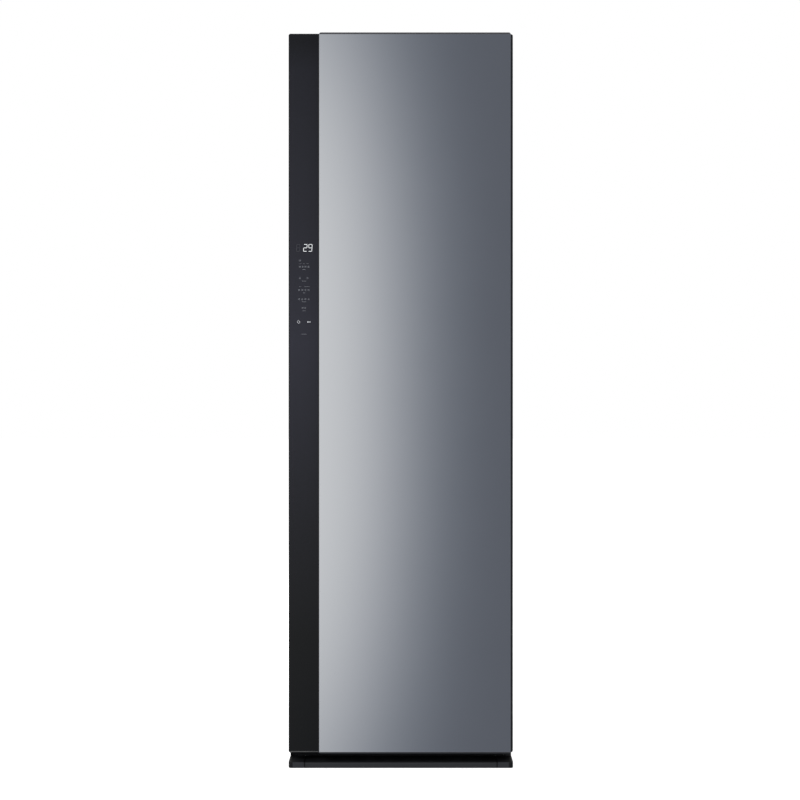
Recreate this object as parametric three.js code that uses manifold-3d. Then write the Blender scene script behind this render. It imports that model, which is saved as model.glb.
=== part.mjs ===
// Clothes care steam cabinet: a free-standing cabinet with one tall mirrored door, in millimetres.
// Frame: +Z up, origin on the floor under the middle, the door faces -Y and +X is to its right.
import * as THREE from 'three';
import { mergeVertices } from 'three/addons/utils/BufferGeometryUtils.js';
import Module from 'manifold-3d';

const wasm = await Module();
wasm.setup();

// Overall size, common walls and clearances
const WIDTH = 600;
const HEIGHT = 1960;
const DEPTH = 596;
const SHEET = 1;
const MOULDING = 2.5;
const SEAT = 0.3; // between faces that bear on each other
const FIT = 0.5; // round a pin in its bore
const RUN = 1; // round a piece that slides
const OVERRUN = 5; // how far a cut goes past the material
const MERGE = 1e-3; // vertices closer than this are one

// Door: the mirror panel stands in front of the control strip, and both stand on one shell
const door = {
  lift: 37.5,
  depth: 62,
  proud: 17,
  glass: 4,
  corner: 5,
  stripWidth: 82,
  mirrorInset: 7.3,
  mirrorDrop: 1,
  trim: 4,
  sideTrim: 1.5,
  gasketGap: 8,
};
const mirrorTray = { ribs: 6, rib: 6, wall: 4 };
const grip = { depth: 22, width: 20, height: 240, middle: 1000, behind: 8 };
const display = { width: 52, height: 262, middle: 1285, inset: 16, board: 1.6, margin: 8, standoff: 3 };
const boardRoom = { side: 5, deep: 8 };
const gasket = { width: 20, base: 3, bulb: 12, inset: 17, above: 14.5, below: 24, corner: 18 };
const dyke = { inset: 18, below: 20, above: 20, rise: 20, corner: 20 };

// Hinges of the door, on one upright axis
const hinge = {
  inset: 14,
  behindShell: 16.7,
  pin: 6,
  boss: 11,
  bossLength: 34,
  plate: 4,
  tongue: 8,
  reach: 30,
  pinInset: 4,
  notch: 28,
  notchDepth: 16,
  plateWidth: 33,
  plateEdge: 3,
  plateLength: 96,
  collar: 10,
  lowerPlate: 22.4,
  lowerLength: 110,
  bolt: 5,
  boltHead: 3,
};
const hingeCover = { width: 44, length: 104, height: 11.5, wall: 2, corner: 6 };

// Cabinet casing
const cabinet = { inset: 2, topDrop: 15, bottom: 34, flange: 20, rearFlange: 15, turnDown: 20 };
const bead = { count: 5, height: 6, foot: 56, crest: 40, margin: 46 };
const vent = { rows: 6, width: 34, height: 5, pitch: 22, bottom: 110, columns: 2 };
const cordInlet = { aside: 44, z: 84, neck: 9, flange: 13, flangeDepth: 5, inside: 6 };
const base = { floor: 24, height: 36, ribs: 3, rib: 10, ribHeight: 5, ribPitch: 128.4 };
const foot = {
  aside: 60, behind: 33, pad: 17, padHeight: 7, waist: 12, waistHeight: 2, nut: 10, nutHeight: 8,
};
const stud = { radius: 5, length: 27, boss: 11, bossHeight: 8 };
const roller = {
  aside: 70, ahead: 58, radius: 14, width: 20, tread: 12, axle: 3.5, ear: 2, earHalf: 9, earDrop: 8,
};
const kick = { side: 0.7, bottom: 1, top: 16, wall: 2.5, round: 3, cap: 41, lip: 11, capRound: 8 };
const grille = { top: 47, depth: 2.5, slots: 8, slot: 46, bar: 12, margin: 8 };

// Steam chamber, its depths measured from the cabinet's front edge
const chamber = { side: 48, over: 50, headroom: 145, depth: 453, wall: 3, corner: 28, flangeBelow: 14 };
const ledge = { depth: 12, height: 8, above: 168, front: 58, back: 418 };
const shelf = { front: 68, back: 412, height: 7, slots: 10, rim: 14, bar: 12, lip: 14 };
const inlet = { y: 239, width: 150, length: 90 };
const outlet = { front: 400, back: 430 };
const lamp = { width: 150, length: 34, height: 7, y: 78, corner: 8 };
const riser = { half: 170, deep: 20, drop: 300, foot: 60, footHeight: 90, corner: 16, wall: 2.5 };
const louvre = { count: 8, width: 230, height: 8, pitch: 22, drop: 60 };
const nozzle = { count: 3, radius: 11, pitch: 90, above: 48 };
const airGrille = { count: 2, width: 300, height: 5, pitch: 9, above: 15 };
const tread = { gap: 16, front: 23, back: 390, rise: 4, height: 4, leg: 7, slots: 8, slot: 10, bar: 12 };
const treadSlots = { left: 10, front: 78, back: 338 };
const filter = {
  rim: 9, height: 12, columns: 4, rows: 2, bar: 3, gap: 0.6, tab: 46, tabWall: 4, tabHeight: 16,
};

// Trouser press on the inside of the door
const pad = { half: 165, inset: 10, thick: 8.7, corner: 22 };
const press = {
  left: -175, right: 170, above: 310, drop: 230, corner: 28, slot: 7, thick: 14, bevel: 3,
};
const pressHinge = { x: 186, pin: 4, half: 11, height: 30, ends: 50, end: 12, arm: 8, armGap: 5 };
const pressRib = { count: 4, width: 9, rise: 2.5, margin: 40 };
const latch = { x: -190, length: 64, width: 16, thick: 5, boss: 9, pin: 4, pinLength: 16 };
const clip = { half: 120, drop: 160, height: 56, thick: 11, ear: 6, pin: 3, pinUp: 58, ahead: 17 };
const jaw = { thick: 6, height: 50, ear: 10, teeth: 8, tooth: 12, bite: 2 };

// Moving hanger and its drive, above the chamber's ceiling
const bar = { half: 215, radius: 12, drop: 78, dome: 8, notches: 5, notch: 6, pitch: 44, shake: 12 };
const post = { x: 150, radius: 7, seat: 4, slotExtra: 6 };
const hanger = { behind: 228 };
const rail = {
  half: 205, y: 60, above: 47, radius: 6, wall: 4, width: 150, rise: 18, foot: 22, buffer: 11,
  bufferLength: 8,
};
const carriage = {
  half: 168, width: 148, above: 65, plate: 4, bush: 26, bushX: 108, bushLength: 30, corner: 12,
};
const gearSet = {
  module: 3.6, pressure: 22, wheelTeeth: 20, pinionTeeth: 10, backlash: 0.35, face: 12, lift: 3,
};
const addendumShares = { tip: 0.9, root: 1.2 };
const weight = { radius: 31, height: 26, hub: 12 };
const spindle = { radius: 5, above: 44 };
const driveMotor = { radius: 28, height: 55, shaft: 4, shaftIn: 22, cap: 3, rim: 24 };

// Tank bay and its two tanks
const bay = {
  bottom: 78, headroom: 16.7, depth: 178, wall: 2.5, corner: 8, divider: 3, rail: 3.5, railHeight: 12,
};
const tank = { side: 18, depth: 115, height: 235, wall: 2.5, corner: 14, recess: 60 };
const mouth = { half: 62, front: 42, back: 98, corner: 14 };
const pocket = { half: 55, deep: 28, drop: 13, height: 57, side: 5 };
const handle = {
  half: 53.5, thick: 5, drop: 4, height: 48, y: 8, pin: 3, pinDrop: 5, bar: 13, pinIn: 2.6,
};

// Machine compartment behind the tanks, its depths measured from the cabinet's front edge
const duct = { x: -120, half: 95, front: 184, back: 374, bottom: 90, wall: 2.5 };
const ductMouth = { margin: 16, rearBottom: 120, rearTop: 292 };
const coil = {
  side: 0.8, core: 16, fins: 9, fin: 2, evaporator: 38, condenser: 30, front: 294, gap: 7, stub: 5,
  stubOut: 30,
};
const stubs = { evaporator: 300, condenser: 150 };
const fan = {
  z: 205, wheel: 68, blades: 12, blade: 2, chord: 15, lean: 0.6, plate: 2.5, gap: 4, shaft: 4,
};
const fanRing = { inner: 54, depth: 2.5, hub: 14, hubLength: 16 };
const scroll = {
  depth: 60, start: 78, end: 104, wall: 2.5, steps: 24, inlet: 56, outletWidth: 44,
};
const fanMotor = { radius: 38, depth: 46, flange: 84, flangeDepth: 3, nose: 14, noseDepth: 8, shaftIn: 30 };
const compressor = {
  x: 190, y: 418, radius: 60, bottom: 42, top: 228, waist: 52, plate: 4, plateHalf: 66, grommet: 10,
};
const steamer = {
  left: 20, width: 130, front: 190, depth: 96, bottom: 96, height: 104, corner: 16, leg: 8, ribs: 2, rib: 4,
};
const steamPort = { radius: 10, height: 26 };
const pump = {
  radius: 20, length: 66, y: 270, z: 60, base: 34, head: 26, headLength: 16, port: 6, portLength: 18,
};
const pumps = { feed: 192, drain: 252 };
const line = { radius: 5, steps: 14, sides: 6 };
const controlBox = {
  left: -150, width: 190, front: 328, depth: 112, height: 58, corner: 5, ribs: 6, rib: 3, ribRise: 2,
};

// Facets in an arc, by how much the piece shows
const FINE = 16;
const ROUND = 12;
const SMALL = 8;
const HEXAGON = 6;
const ARC = 2;
const TIGHT = 1; // in small or hidden corners

// Stations that several pieces share
const FRONT = -DEPTH / 2;
const BACK = DEPTH / 2;
const STRIP_FRONT = FRONT + door.proud;
const SHELL_FRONT = STRIP_FRONT + door.glass + SEAT;
const DOOR_BACK = FRONT + door.depth;
const CABINET_FRONT = DOOR_BACK + door.gasketGap;
const CABINET_HALF = WIDTH / 2 - cabinet.inset;
const CABINET_TOP = HEIGHT - cabinet.topDrop;
const REAR_SKIN = BACK - bead.height;
const CABINET_BACK = REAR_SKIN - SHEET - SEAT;
const PAN_HALF = CABINET_HALF - SHEET - SEAT;
const PAN_FRONT = CABINET_FRONT + grille.depth + SEAT;
const PAN_BACK = CABINET_BACK - SHEET - SEAT;
const HINGE_X = WIDTH / 2 - hinge.inset;
const HINGE_Y = SHELL_FRONT + hinge.behindShell;
const CORD_X = cordInlet.aside - CABINET_HALF;
const FOOT_X = WIDTH / 2 - foot.aside;
const ROLLER_X = WIDTH / 2 - roller.aside;
const KICK_HALF = WIDTH / 2 - kick.side;
const STRIP_RIGHT = -WIDTH / 2 + door.stripWidth - SEAT;
const MIRROR_LEFT = -WIDTH / 2 + door.stripWidth + SEAT;
const MIRROR_RIGHT = WIDTH / 2 - door.mirrorInset;
const CHAMBER_HALF = CABINET_HALF - chamber.side;
const BAY_TOP = bay.bottom + SEAT + tank.height + bay.headroom;
const CHAMBER_BOTTOM = BAY_TOP + chamber.over;
const CHAMBER_TOP = CABINET_TOP - chamber.headroom;
const CEILING_TOP = CHAMBER_TOP + chamber.wall;
const FLANGE_HALF = CABINET_HALF - cabinet.flange - SEAT;
const FLANGE_BOTTOM = CHAMBER_BOTTOM - chamber.flangeBelow;
const FLANGE_TOP = CABINET_TOP - cabinet.turnDown - SEAT;
const RISER_TOP = CHAMBER_TOP - riser.drop;
const LEDGE_TOP = CHAMBER_BOTTOM + ledge.above + ledge.height;
const DYKE_HALF = CHAMBER_HALF - dyke.inset;
const DYKE_FACE = DOOR_BACK + dyke.rise;
const PAD_FACE = DYKE_FACE + SEAT + pad.thick;
const PRESS_BACK = PAD_FACE + press.slot;
const PRESS_FACE = PRESS_BACK + press.thick;
const PRESS_Z = [CHAMBER_BOTTOM + press.above, CHAMBER_TOP - press.drop];
const LATCH_Z = (PRESS_Z[0] + PRESS_Z[1]) / 2;
const CLIP_BOTTOM = CHAMBER_TOP - clip.drop;
const CLIP_PIN_Z = CLIP_BOTTOM + clip.pinUp;
const TANK_X = CHAMBER_HALF / 2;
const TANK_WIDTH = CHAMBER_HALF - tank.side;
const POCKET_Z = [tank.height - pocket.drop - pocket.height, tank.height - pocket.drop];
const HANDLE_Z = [POCKET_Z[1] - handle.drop - handle.height, POCKET_Z[1] - handle.drop];
const HANDLE_PIN_Z = HANDLE_Z[1] - handle.pinDrop;
const BAR_Z = CHAMBER_TOP - bar.drop;
const RAIL_Z = CEILING_TOP + rail.above;
const CARRIAGE_Z = CEILING_TOP + carriage.above;
const GEAR_Z = CARRIAGE_Z + carriage.plate + gearSet.lift;
const WHEEL_RADIUS = gearSet.module * gearSet.wheelTeeth / 2;
const PINION_RADIUS = gearSet.module * gearSet.pinionTeeth / 2;
const MOTOR_X = -2 * WHEEL_RADIUS - PINION_RADIUS;
const SCROLL_FRONT = duct.back + SEAT;
const SCROLL_BACK = SCROLL_FRONT + scroll.depth;
const UNDER_CHAMBER = CHAMBER_BOTTOM - chamber.wall - SEAT;

// A closed three.js geometry as a solid that can be joined and cut
function solid(geometry) {
  const loose = geometry.index ? geometry.toNonIndexed() : geometry;
  const points = new THREE.BufferGeometry();
  points.setAttribute('position', loose.getAttribute('position'));
  const merged = mergeVertices(points, MERGE);
  const vertProperties = merged.getAttribute('position').array;
  const triVerts = Uint32Array.from(merged.index.array);
  return new wasm.Manifold(new wasm.Mesh({ numProp: 3, vertProperties, triVerts }));
}

const join = (first, ...rest) => rest.reduce((whole, piece) => whole.add(piece), first);
const cut = (first, ...rest) => rest.reduce((whole, piece) => whole.subtract(piece), first);
const middle = (range) => (range[0] + range[1]) / 2;
const length = (range) => range[1] - range[0];
const span = (centre, size) => [centre - size / 2, centre + size / 2];
const grow = (range, by) => [range[0] - by, range[1] + by];
const each = (count, make) => Array.from({ length: count }, (unused, index) => make(index));

// A box between [low, high] ranges along x, y and z
function box(x, y, z) {
  const geometry = new THREE.BoxGeometry(length(x), length(y), length(z));
  return solid(geometry.translate(middle(x), middle(y), middle(z)));
}

// A rectangle between ranges u and v, with corner radii from the low-u low-v corner anticlockwise
function rectangle(u, v, radii = 0) {
  const [a, b, c, d] = Array.isArray(radii) ? radii : [radii, radii, radii, radii];
  const shape = new THREE.Shape();
  const corner = (x, y, radius, start) => {
    if (!radius && start === Math.PI) shape.moveTo(x, y);
    else if (!radius) shape.lineTo(x, y);
    else {
      const first = [x + radius * Math.cos(start), y + radius * Math.sin(start)];
      if (start !== Math.PI && !shape.curves.length) shape.lineTo(...first);
      shape.absarc(x, y, radius, start, start + Math.PI / 2);
    }
  };
  corner(u[0] + a, v[0] + a, a, Math.PI);
  corner(u[1] - b, v[0] + b, b, Math.PI * 3 / 2);
  corner(u[1] - c, v[1] - c, c, 0);
  corner(u[0] + d, v[1] - d, d, Math.PI / 2);
  shape.closePath();
  return shape;
}

const outline = (points) => new THREE.Shape(points.map(([u, v]) => new THREE.Vector2(u, v)));

// Turns a geometry made along +Z so that it lies along the named axis, with its u and v on the other two
const LIE = {
  x: (geometry) => geometry.applyMatrix4(new THREE.Matrix4().set(
    0, 0, 1, 0, 1, 0, 0, 0, 0, 1, 0, 0, 0, 0, 0, 1,
  )),
  y: (geometry) => geometry.rotateX(Math.PI / 2),
  z: (geometry) => geometry,
};

// A shape drawn on the other two axes and drawn out along an axis over a range
function prism(shape, axis, range, curveSegments = ARC) {
  const geometry = new THREE.ExtrudeGeometry(
    shape, { depth: length(range), bevelEnabled: false, curveSegments },
  );
  LIE[axis](geometry);
  const start = axis === 'y' ? range[1] : range[0];
  const shift = { x: 0, y: 0, z: 0, [axis]: start };
  return solid(geometry.translate(shift.x, shift.y, shift.z));
}

// A profile of [radius, along] points, closed on the axis or on itself, turned round an axis through at
function turned(profile, axis, at, sides = ROUND) {
  const geometry = new THREE.LatheGeometry(profile.map(([r, along]) => new THREE.Vector2(r, along)), sides);
  if (axis === 'x') geometry.rotateZ(-Math.PI / 2);
  if (axis === 'z') geometry.rotateX(Math.PI / 2);
  return solid(geometry.translate(at[0], at[1], at[2]));
}

// A round bar along an axis over a range, and a ring of the same kind
function rod(radius, axis, range, at, sides = ROUND) {
  return turned([[0, range[0]], [radius, range[0]], [radius, range[1]], [0, range[1]]], axis, at, sides);
}

function ring(inner, outer, axis, range, at, sides = ROUND) {
  const [low, high] = range;
  return turned([[inner, low], [outer, low], [outer, high], [inner, high], [inner, low]], axis, at, sides);
}

// The smallest radius of a bore drawn with flats that still clears a pin
const bore = (pin, sides = ROUND) => (pin + FIT) / Math.cos(Math.PI / sides);

// Finishes of the sub-parts
const FINISHES = {
  mirror: { color: 0x9aa0a8, roughness: 0.06, metalness: 1 },
  blackGlass: { color: 0x131418, roughness: 0.08, metalness: 0 },
  darkTrim: { color: 0x3a3b3f, roughness: 0.4, metalness: 0.2 },
  blackPlastic: { color: 0x1a1b1d, roughness: 0.5, metalness: 0 },
  darkSteel: { color: 0x2a2b2e, roughness: 0.4, metalness: 0.5 },
  lightPlastic: { color: 0xb9bcc0, roughness: 0.45, metalness: 0 },
  palePlastic: { color: 0xdfe1e3, roughness: 0.4, metalness: 0 },
  zinc: { color: 0xa9adb0, roughness: 0.45, metalness: 1 },
  steel: { color: 0xc3c6c9, roughness: 0.3, metalness: 1 },
  aluminium: { color: 0xc9ccd0, roughness: 0.35, metalness: 1 },
  copper: { color: 0xb87333, roughness: 0.35, metalness: 1 },
  rubber: { color: 0x202124, roughness: 0.8, metalness: 0 },
  foam: { color: 0xd8d2bd, roughness: 0.9, metalness: 0 },
  felt: { color: 0x6d7278, roughness: 1, metalness: 0 },
  clearPlastic: { color: 0x9fb3bd, roughness: 0.15, metalness: 0 },
  circuitBoard: { color: 0x1f4d33, roughness: 0.5, metalness: 0 },
  blackEnamel: { color: 0x161719, roughness: 0.35, metalness: 0.2 },
};

// A named mesh of a solid, in the frame of the group that it joins
function node(name, shape, finish) {
  const { numProp, vertProperties, triVerts } = shape.getMesh();
  const geometry = new THREE.BufferGeometry();
  geometry.setAttribute('position', new THREE.BufferAttribute(vertProperties, numProp));
  geometry.setIndex(new THREE.BufferAttribute(triVerts, 1));
  const mesh = new THREE.Mesh(geometry, new THREE.MeshStandardMaterial(FINISHES[finish]));
  mesh.name = name;
  return mesh;
}

function group(parts, position = [0, 0, 0]) {
  const made = new THREE.Group();
  made.add(...parts);
  made.position.set(...position);
  return made;
}

// Cabinet casing: folded side, top and rear sheets on a pressed base pan
function sidePanel(name, side) {
  const x = CABINET_HALF;
  const section = outline([
    [x - cabinet.flange, CABINET_FRONT],
    [x, CABINET_FRONT],
    [x, CABINET_BACK],
    [x - cabinet.rearFlange, CABINET_BACK],
    [x - cabinet.rearFlange, CABINET_BACK - SHEET],
    [x - SHEET, CABINET_BACK - SHEET],
    [x - SHEET, CABINET_FRONT + SHEET],
    [x - cabinet.flange, CABINET_FRONT + SHEET],
  ].map(([u, v]) => [u * side, v]));
  return node(name, prism(section, 'z', [cabinet.bottom, CABINET_TOP - SHEET - SEAT]), 'darkSteel');
}

function topPanel() {
  const z = [CABINET_TOP - SHEET, CABINET_TOP];
  const turnDown = [CABINET_TOP - cabinet.turnDown, CABINET_TOP - SHEET];
  const frontHalf = CABINET_HALF - cabinet.flange - SEAT;
  const rearHalf = CABINET_HALF - cabinet.rearFlange - SEAT;
  const sheet = box([-CABINET_HALF, CABINET_HALF], [CABINET_FRONT, CABINET_BACK], z);
  const front = box([-frontHalf, frontHalf], [CABINET_FRONT, CABINET_FRONT + SHEET], turnDown);
  const rear = box([-rearHalf, rearHalf], [CABINET_BACK - SHEET, CABINET_BACK], turnDown);
  return node('top_panel', join(sheet, front, rear), 'darkSteel');
}

// The rear sheet has upright pressed beads, vent slots beside the compressor and a hole for the cord inlet
function rearPanel() {
  const half = CABINET_HALF - SEAT;
  const pitch = (2 * half - 2 * bead.margin) / bead.count;
  const outside = [];
  each(bead.count, (index) => {
    const centre = -half + bead.margin + pitch * (index + 1 / 2);
    outside.push([centre - bead.foot / 2, REAR_SKIN], [centre - bead.crest / 2, BACK]);
    outside.push([centre + bead.crest / 2, BACK], [centre + bead.foot / 2, REAR_SKIN]);
  });
  const across = [[-half, REAR_SKIN], ...outside, [half, REAR_SKIN]];
  const inside = across.map(([u, v]) => [u, v - SHEET]).reverse();
  const z = [cabinet.bottom, CABINET_TOP - SHEET - SEAT];
  const slots = each(vent.rows * vent.columns, (index) => {
    const column = Math.floor(index / vent.rows);
    const row = index % vent.rows;
    const x = span(half - bead.margin - pitch * (column + 1 / 2), vent.width);
    const from = vent.bottom + row * vent.pitch;
    return box(x, grow([CABINET_BACK, BACK], OVERRUN), [from, from + vent.height]);
  });
  const hole = rod(
    bore(cordInlet.neck), 'y', grow([CABINET_BACK, BACK], OVERRUN), [CORD_X, 0, cordInlet.z],
  );
  return node('rear_panel', cut(prism(outline([...across, ...inside]), 'z', z), hole, ...slots), 'zinc');
}

function cordInletNode() {
  const { neck, flange, flangeDepth, inside, z } = cordInlet;
  const face = REAR_SKIN + SEAT;
  const profile = [
    [0, REAR_SKIN - SHEET - inside],
    [neck, REAR_SKIN - SHEET - inside],
    [neck, face],
    [flange, face],
    [flange - SHEET, face + flangeDepth],
    [0, face + flangeDepth],
  ];
  return node('cord_inlet', turned(profile, 'y', [CORD_X, 0, z]), 'blackPlastic');
}

// Base pan: a tray with stiffening ribs, nuts for the feet and forks for the rollers
function basePan() {
  const { floor, height } = base;
  const x = [-PAN_HALF, PAN_HALF];
  const y = [PAN_FRONT, PAN_BACK];
  const tray = cut(
    box(x, y, [floor, floor + height]),
    box(grow(x, -SHEET), grow(y, -SHEET), [floor + SHEET, floor + height + OVERRUN]),
  );
  const ribs = each(base.ribs, (index) => {
    const along = PAN_FRONT + base.ribPitch * (index + 1);
    return box(grow(x, -SHEET / 2), span(along, base.rib), [floor + SHEET / 2, floor + base.ribHeight]);
  });
  const footY = CABINET_FRONT + foot.behind;
  const rollerY = PAN_BACK - roller.ahead;
  const adds = [];
  const cuts = [];
  for (const side of [-1, 1]) {
    const at = [side * FOOT_X, footY, 0];
    adds.push(rod(stud.boss, 'z', [floor + SHEET / 2, floor + SHEET + stud.bossHeight], at, SMALL));
    cuts.push(rod(
      bore(stud.radius, SMALL), 'z', grow([floor, floor + SHEET + stud.bossHeight], OVERRUN), at, SMALL,
    ));
    for (const ear of [-1, 1]) {
      const inner = roller.width / 2 + RUN;
      const plate = [
        side * ROLLER_X + ear * inner, side * ROLLER_X + ear * (inner + roller.ear),
      ].sort((a, b) => a - b);
      const low = roller.radius - roller.earDrop;
      adds.push(box(plate, span(rollerY, 2 * roller.earHalf), [low, floor + SHEET / 2]));
      cuts.push(rod(
        bore(roller.axle, SMALL), 'x', grow(plate, OVERRUN / 2), [0, rollerY, roller.radius], SMALL,
      ));
    }
    cuts.push(box(
      span(side * ROLLER_X, roller.width + 2 * RUN - SEAT),
      span(rollerY, 2 * roller.radius + 4 * RUN),
      [floor - SEAT, floor + base.ribHeight + OVERRUN],
    ));
  }
  const hingeSlot = lowerHingeSlot([PAN_FRONT, PAN_FRONT + SHEET]);
  return node('base_pan', cut(join(tray, ...ribs, ...adds), ...cuts, hingeSlot), 'zinc');
}

// Way through a wall over the range y for the plate of the lower hinge
const lowerHingeSlot = (y) => box(
  [PAN_HALF - SHEET - SEAT - hinge.lowerPlate - RUN, PAN_HALF - SHEET],
  grow(y, OVERRUN),
  [base.floor + SHEET, base.floor + SHEET + hinge.plate + 2 * RUN],
);

// Levelling foot: pad, hexagon and threaded stud in one
function levellingFoot(name, side) {
  const nutTop = foot.padHeight + foot.waistHeight + foot.nutHeight;
  const pad = [
    [0, 0], [foot.pad, 0], [foot.pad, foot.padHeight], [foot.waist, foot.padHeight + foot.waistHeight],
  ];
  const body = turned([...pad, [0, foot.padHeight + foot.waistHeight]], 'z', [0, 0, 0], ROUND);
  const nut = rod(foot.nut, 'z', [foot.padHeight, nutTop], [0, 0, 0], HEXAGON);
  const screw = rod(stud.radius, 'z', [foot.padHeight, nutTop + stud.length], [0, 0, 0], SMALL);
  const mesh = node(name, join(body, nut, screw), 'blackPlastic');
  mesh.position.set(side * FOOT_X, CABINET_FRONT + foot.behind, 0);
  return mesh;
}

function rearRoller(name, side) {
  const { radius, width, tread: flat, axle, ear } = roller;
  const half = width / 2;
  const reach = half + RUN + ear;
  const profile = [
    [0, -reach], [axle, -reach], [axle, -half], [radius - (half - flat / 2) / 2, -half], [radius, -flat / 2],
    [radius, flat / 2], [radius - (half - flat / 2) / 2, half], [axle, half], [axle, reach], [0, reach],
  ];
  const mesh = node(name, turned(profile, 'x', [0, 0, 0], ROUND), 'rubber');
  mesh.position.set(side * ROLLER_X, PAN_BACK - roller.ahead, radius);
  return mesh;
}

// Kick plate and its corner caps: a lip, a shelf back to the cabinet, and an upstand at each corner
function kickSection() {
  const { bottom, top, wall, round, lip } = kick;
  const y = FRONT;
  const back = CABINET_FRONT + grille.depth;
  const shape = new THREE.Shape();
  shape.moveTo(y, bottom);
  shape.lineTo(y + wall, bottom);
  shape.lineTo(y + wall, top - wall);
  shape.lineTo(back - wall, top - wall);
  shape.lineTo(back - wall, top - lip);
  shape.lineTo(back, top - lip);
  shape.lineTo(back, top);
  shape.lineTo(y + round, top);
  shape.absarc(y + round, top - round, round, Math.PI / 2, Math.PI);
  shape.closePath();
  return shape;
}

function kickPlate() {
  const half = KICK_HALF - kick.cap - SEAT;
  return node('kick_plate', prism(kickSection(), 'x', [-half, half]), 'blackPlastic');
}

function kickCap(name, side) {
  const { bottom, top, wall, cap, capRound, round } = kick;
  const x = [KICK_HALF - cap, KICK_HALF];
  const y = [FRONT, CABINET_FRONT + grille.depth];
  const turn = (range) => (side > 0 ? range : [-range[1], -range[0]]);
  const radii = (edge, corner) => (side > 0 ? [0, corner, edge, 0] : [corner, 0, 0, edge]);
  const outer = prism(rectangle(turn(x), y, radii(round, capRound)), 'z', [bottom, top]);
  const hollow = rectangle(turn(grow(x, -wall)), grow(y, -wall), radii(round - wall / 2, capRound - wall));
  const behind = [CABINET_FRONT, CABINET_FRONT + grille.depth];
  const underSide = [CABINET_HALF - cabinet.flange, KICK_HALF];
  const upstand = box(turn(underSide), behind, [top - wall, cabinet.bottom - SEAT]);
  const cuts = [prism(hollow, 'z', [bottom - OVERRUN, top - wall])];
  if (side > 0) cuts.push(lowerHingeSlot(behind));
  return node(name, cut(join(outer, upstand), ...cuts), 'blackPlastic');
}

function baseGrille() {
  const half = CABINET_HALF - cabinet.flange - SEAT;
  const y = [CABINET_FRONT, CABINET_FRONT + grille.depth];
  const z = [kick.top + SEAT, grille.top];
  const first = -(grille.slots * (grille.slot + grille.bar) - grille.bar) / 2;
  const slots = each(grille.slots, (index) => {
    const left = first + index * (grille.slot + grille.bar);
    return box([left, left + grille.slot], grow(y, OVERRUN), grow(z, -grille.margin));
  });
  return node('base_grille', cut(box([-half, half], y, z), lowerHingeSlot(y), ...slots), 'blackPlastic');
}

// Door hinges: a bracket with a pin on the cabinet's top, and a plate with a pin and collar at its foot
function upperHinge() {
  const z = [CABINET_TOP + SEAT, CABINET_TOP + SEAT + hinge.plate];
  const right = CABINET_HALF - hinge.plateEdge;
  const back = CABINET_FRONT + SHEET + hinge.plateLength;
  const front = CABINET_FRONT + 2 * SHEET + hingeCover.wall + RUN;
  const plate = prism(rectangle([right - hinge.plateWidth, right], [front, back], hinge.bolt), 'z', z);
  const tongue = box(span(HINGE_X, 2 * hinge.tongue), [HINGE_Y, front + hinge.tongue], z);
  const end = rod(hinge.tongue, 'z', z, [HINGE_X, HINGE_Y, 0], ROUND);
  const pin = rod(hinge.pin, 'z', [z[0] - hinge.reach, z[1]], [HINGE_X, HINGE_Y, 0], ROUND);
  const bolts = each(2, (index) => {
    const y = back - hinge.plateLength * (index + 1) / 4;
    return rod(
      hinge.bolt, 'z', [z[1] - SEAT, z[1] + hinge.boltHead], [right - hinge.plateWidth / 2, y, 0], HEXAGON,
    );
  });
  return node('upper_hinge', join(plate, tongue, end, pin, ...bolts), 'steel');
}

function lowerHinge() {
  const z = [base.floor + SHEET + SEAT, base.floor + SHEET + SEAT + hinge.plate];
  const right = PAN_HALF - SHEET - SEAT;
  const at = [HINGE_X, HINGE_Y, 0];
  const plate = box([right - hinge.lowerPlate, right], [HINGE_Y, HINGE_Y + hinge.lowerLength], z);
  const end = rod(right - HINGE_X, 'z', z, at, ROUND);
  const collar = rod(hinge.collar, 'z', [z[0], door.lift - SEAT], at, ROUND);
  const pin = rod(hinge.pin, 'z', [z[0], door.lift + hinge.reach - hinge.pinInset], at, ROUND);
  return node('lower_hinge', join(plate, end, collar, pin), 'steel');
}

function hingeCoverNode() {
  const { width, length: run, height, wall, corner } = hingeCover;
  const x = [CABINET_HALF - width, CABINET_HALF];
  const y = [CABINET_FRONT + 2 * SHEET, CABINET_FRONT + 2 * SHEET + run];
  const z = [CABINET_TOP + SEAT, CABINET_TOP + SEAT + height];
  const outer = prism(rectangle(x, y, corner), 'z', z);
  const room = prism(
    rectangle(grow(x, -wall), grow(y, -wall), corner - wall), 'z', [z[0] - OVERRUN, z[1] - wall],
  );
  const slot = box(
    span(HINGE_X, 2 * (hinge.tongue + RUN)), [y[0] - OVERRUN, y[0] + 2 * wall],
    [z[0] - OVERRUN, z[0] + hinge.plate + RUN],
  );
  return node('hinge_cover', cut(outer, room, slot), 'blackPlastic');
}

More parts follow.
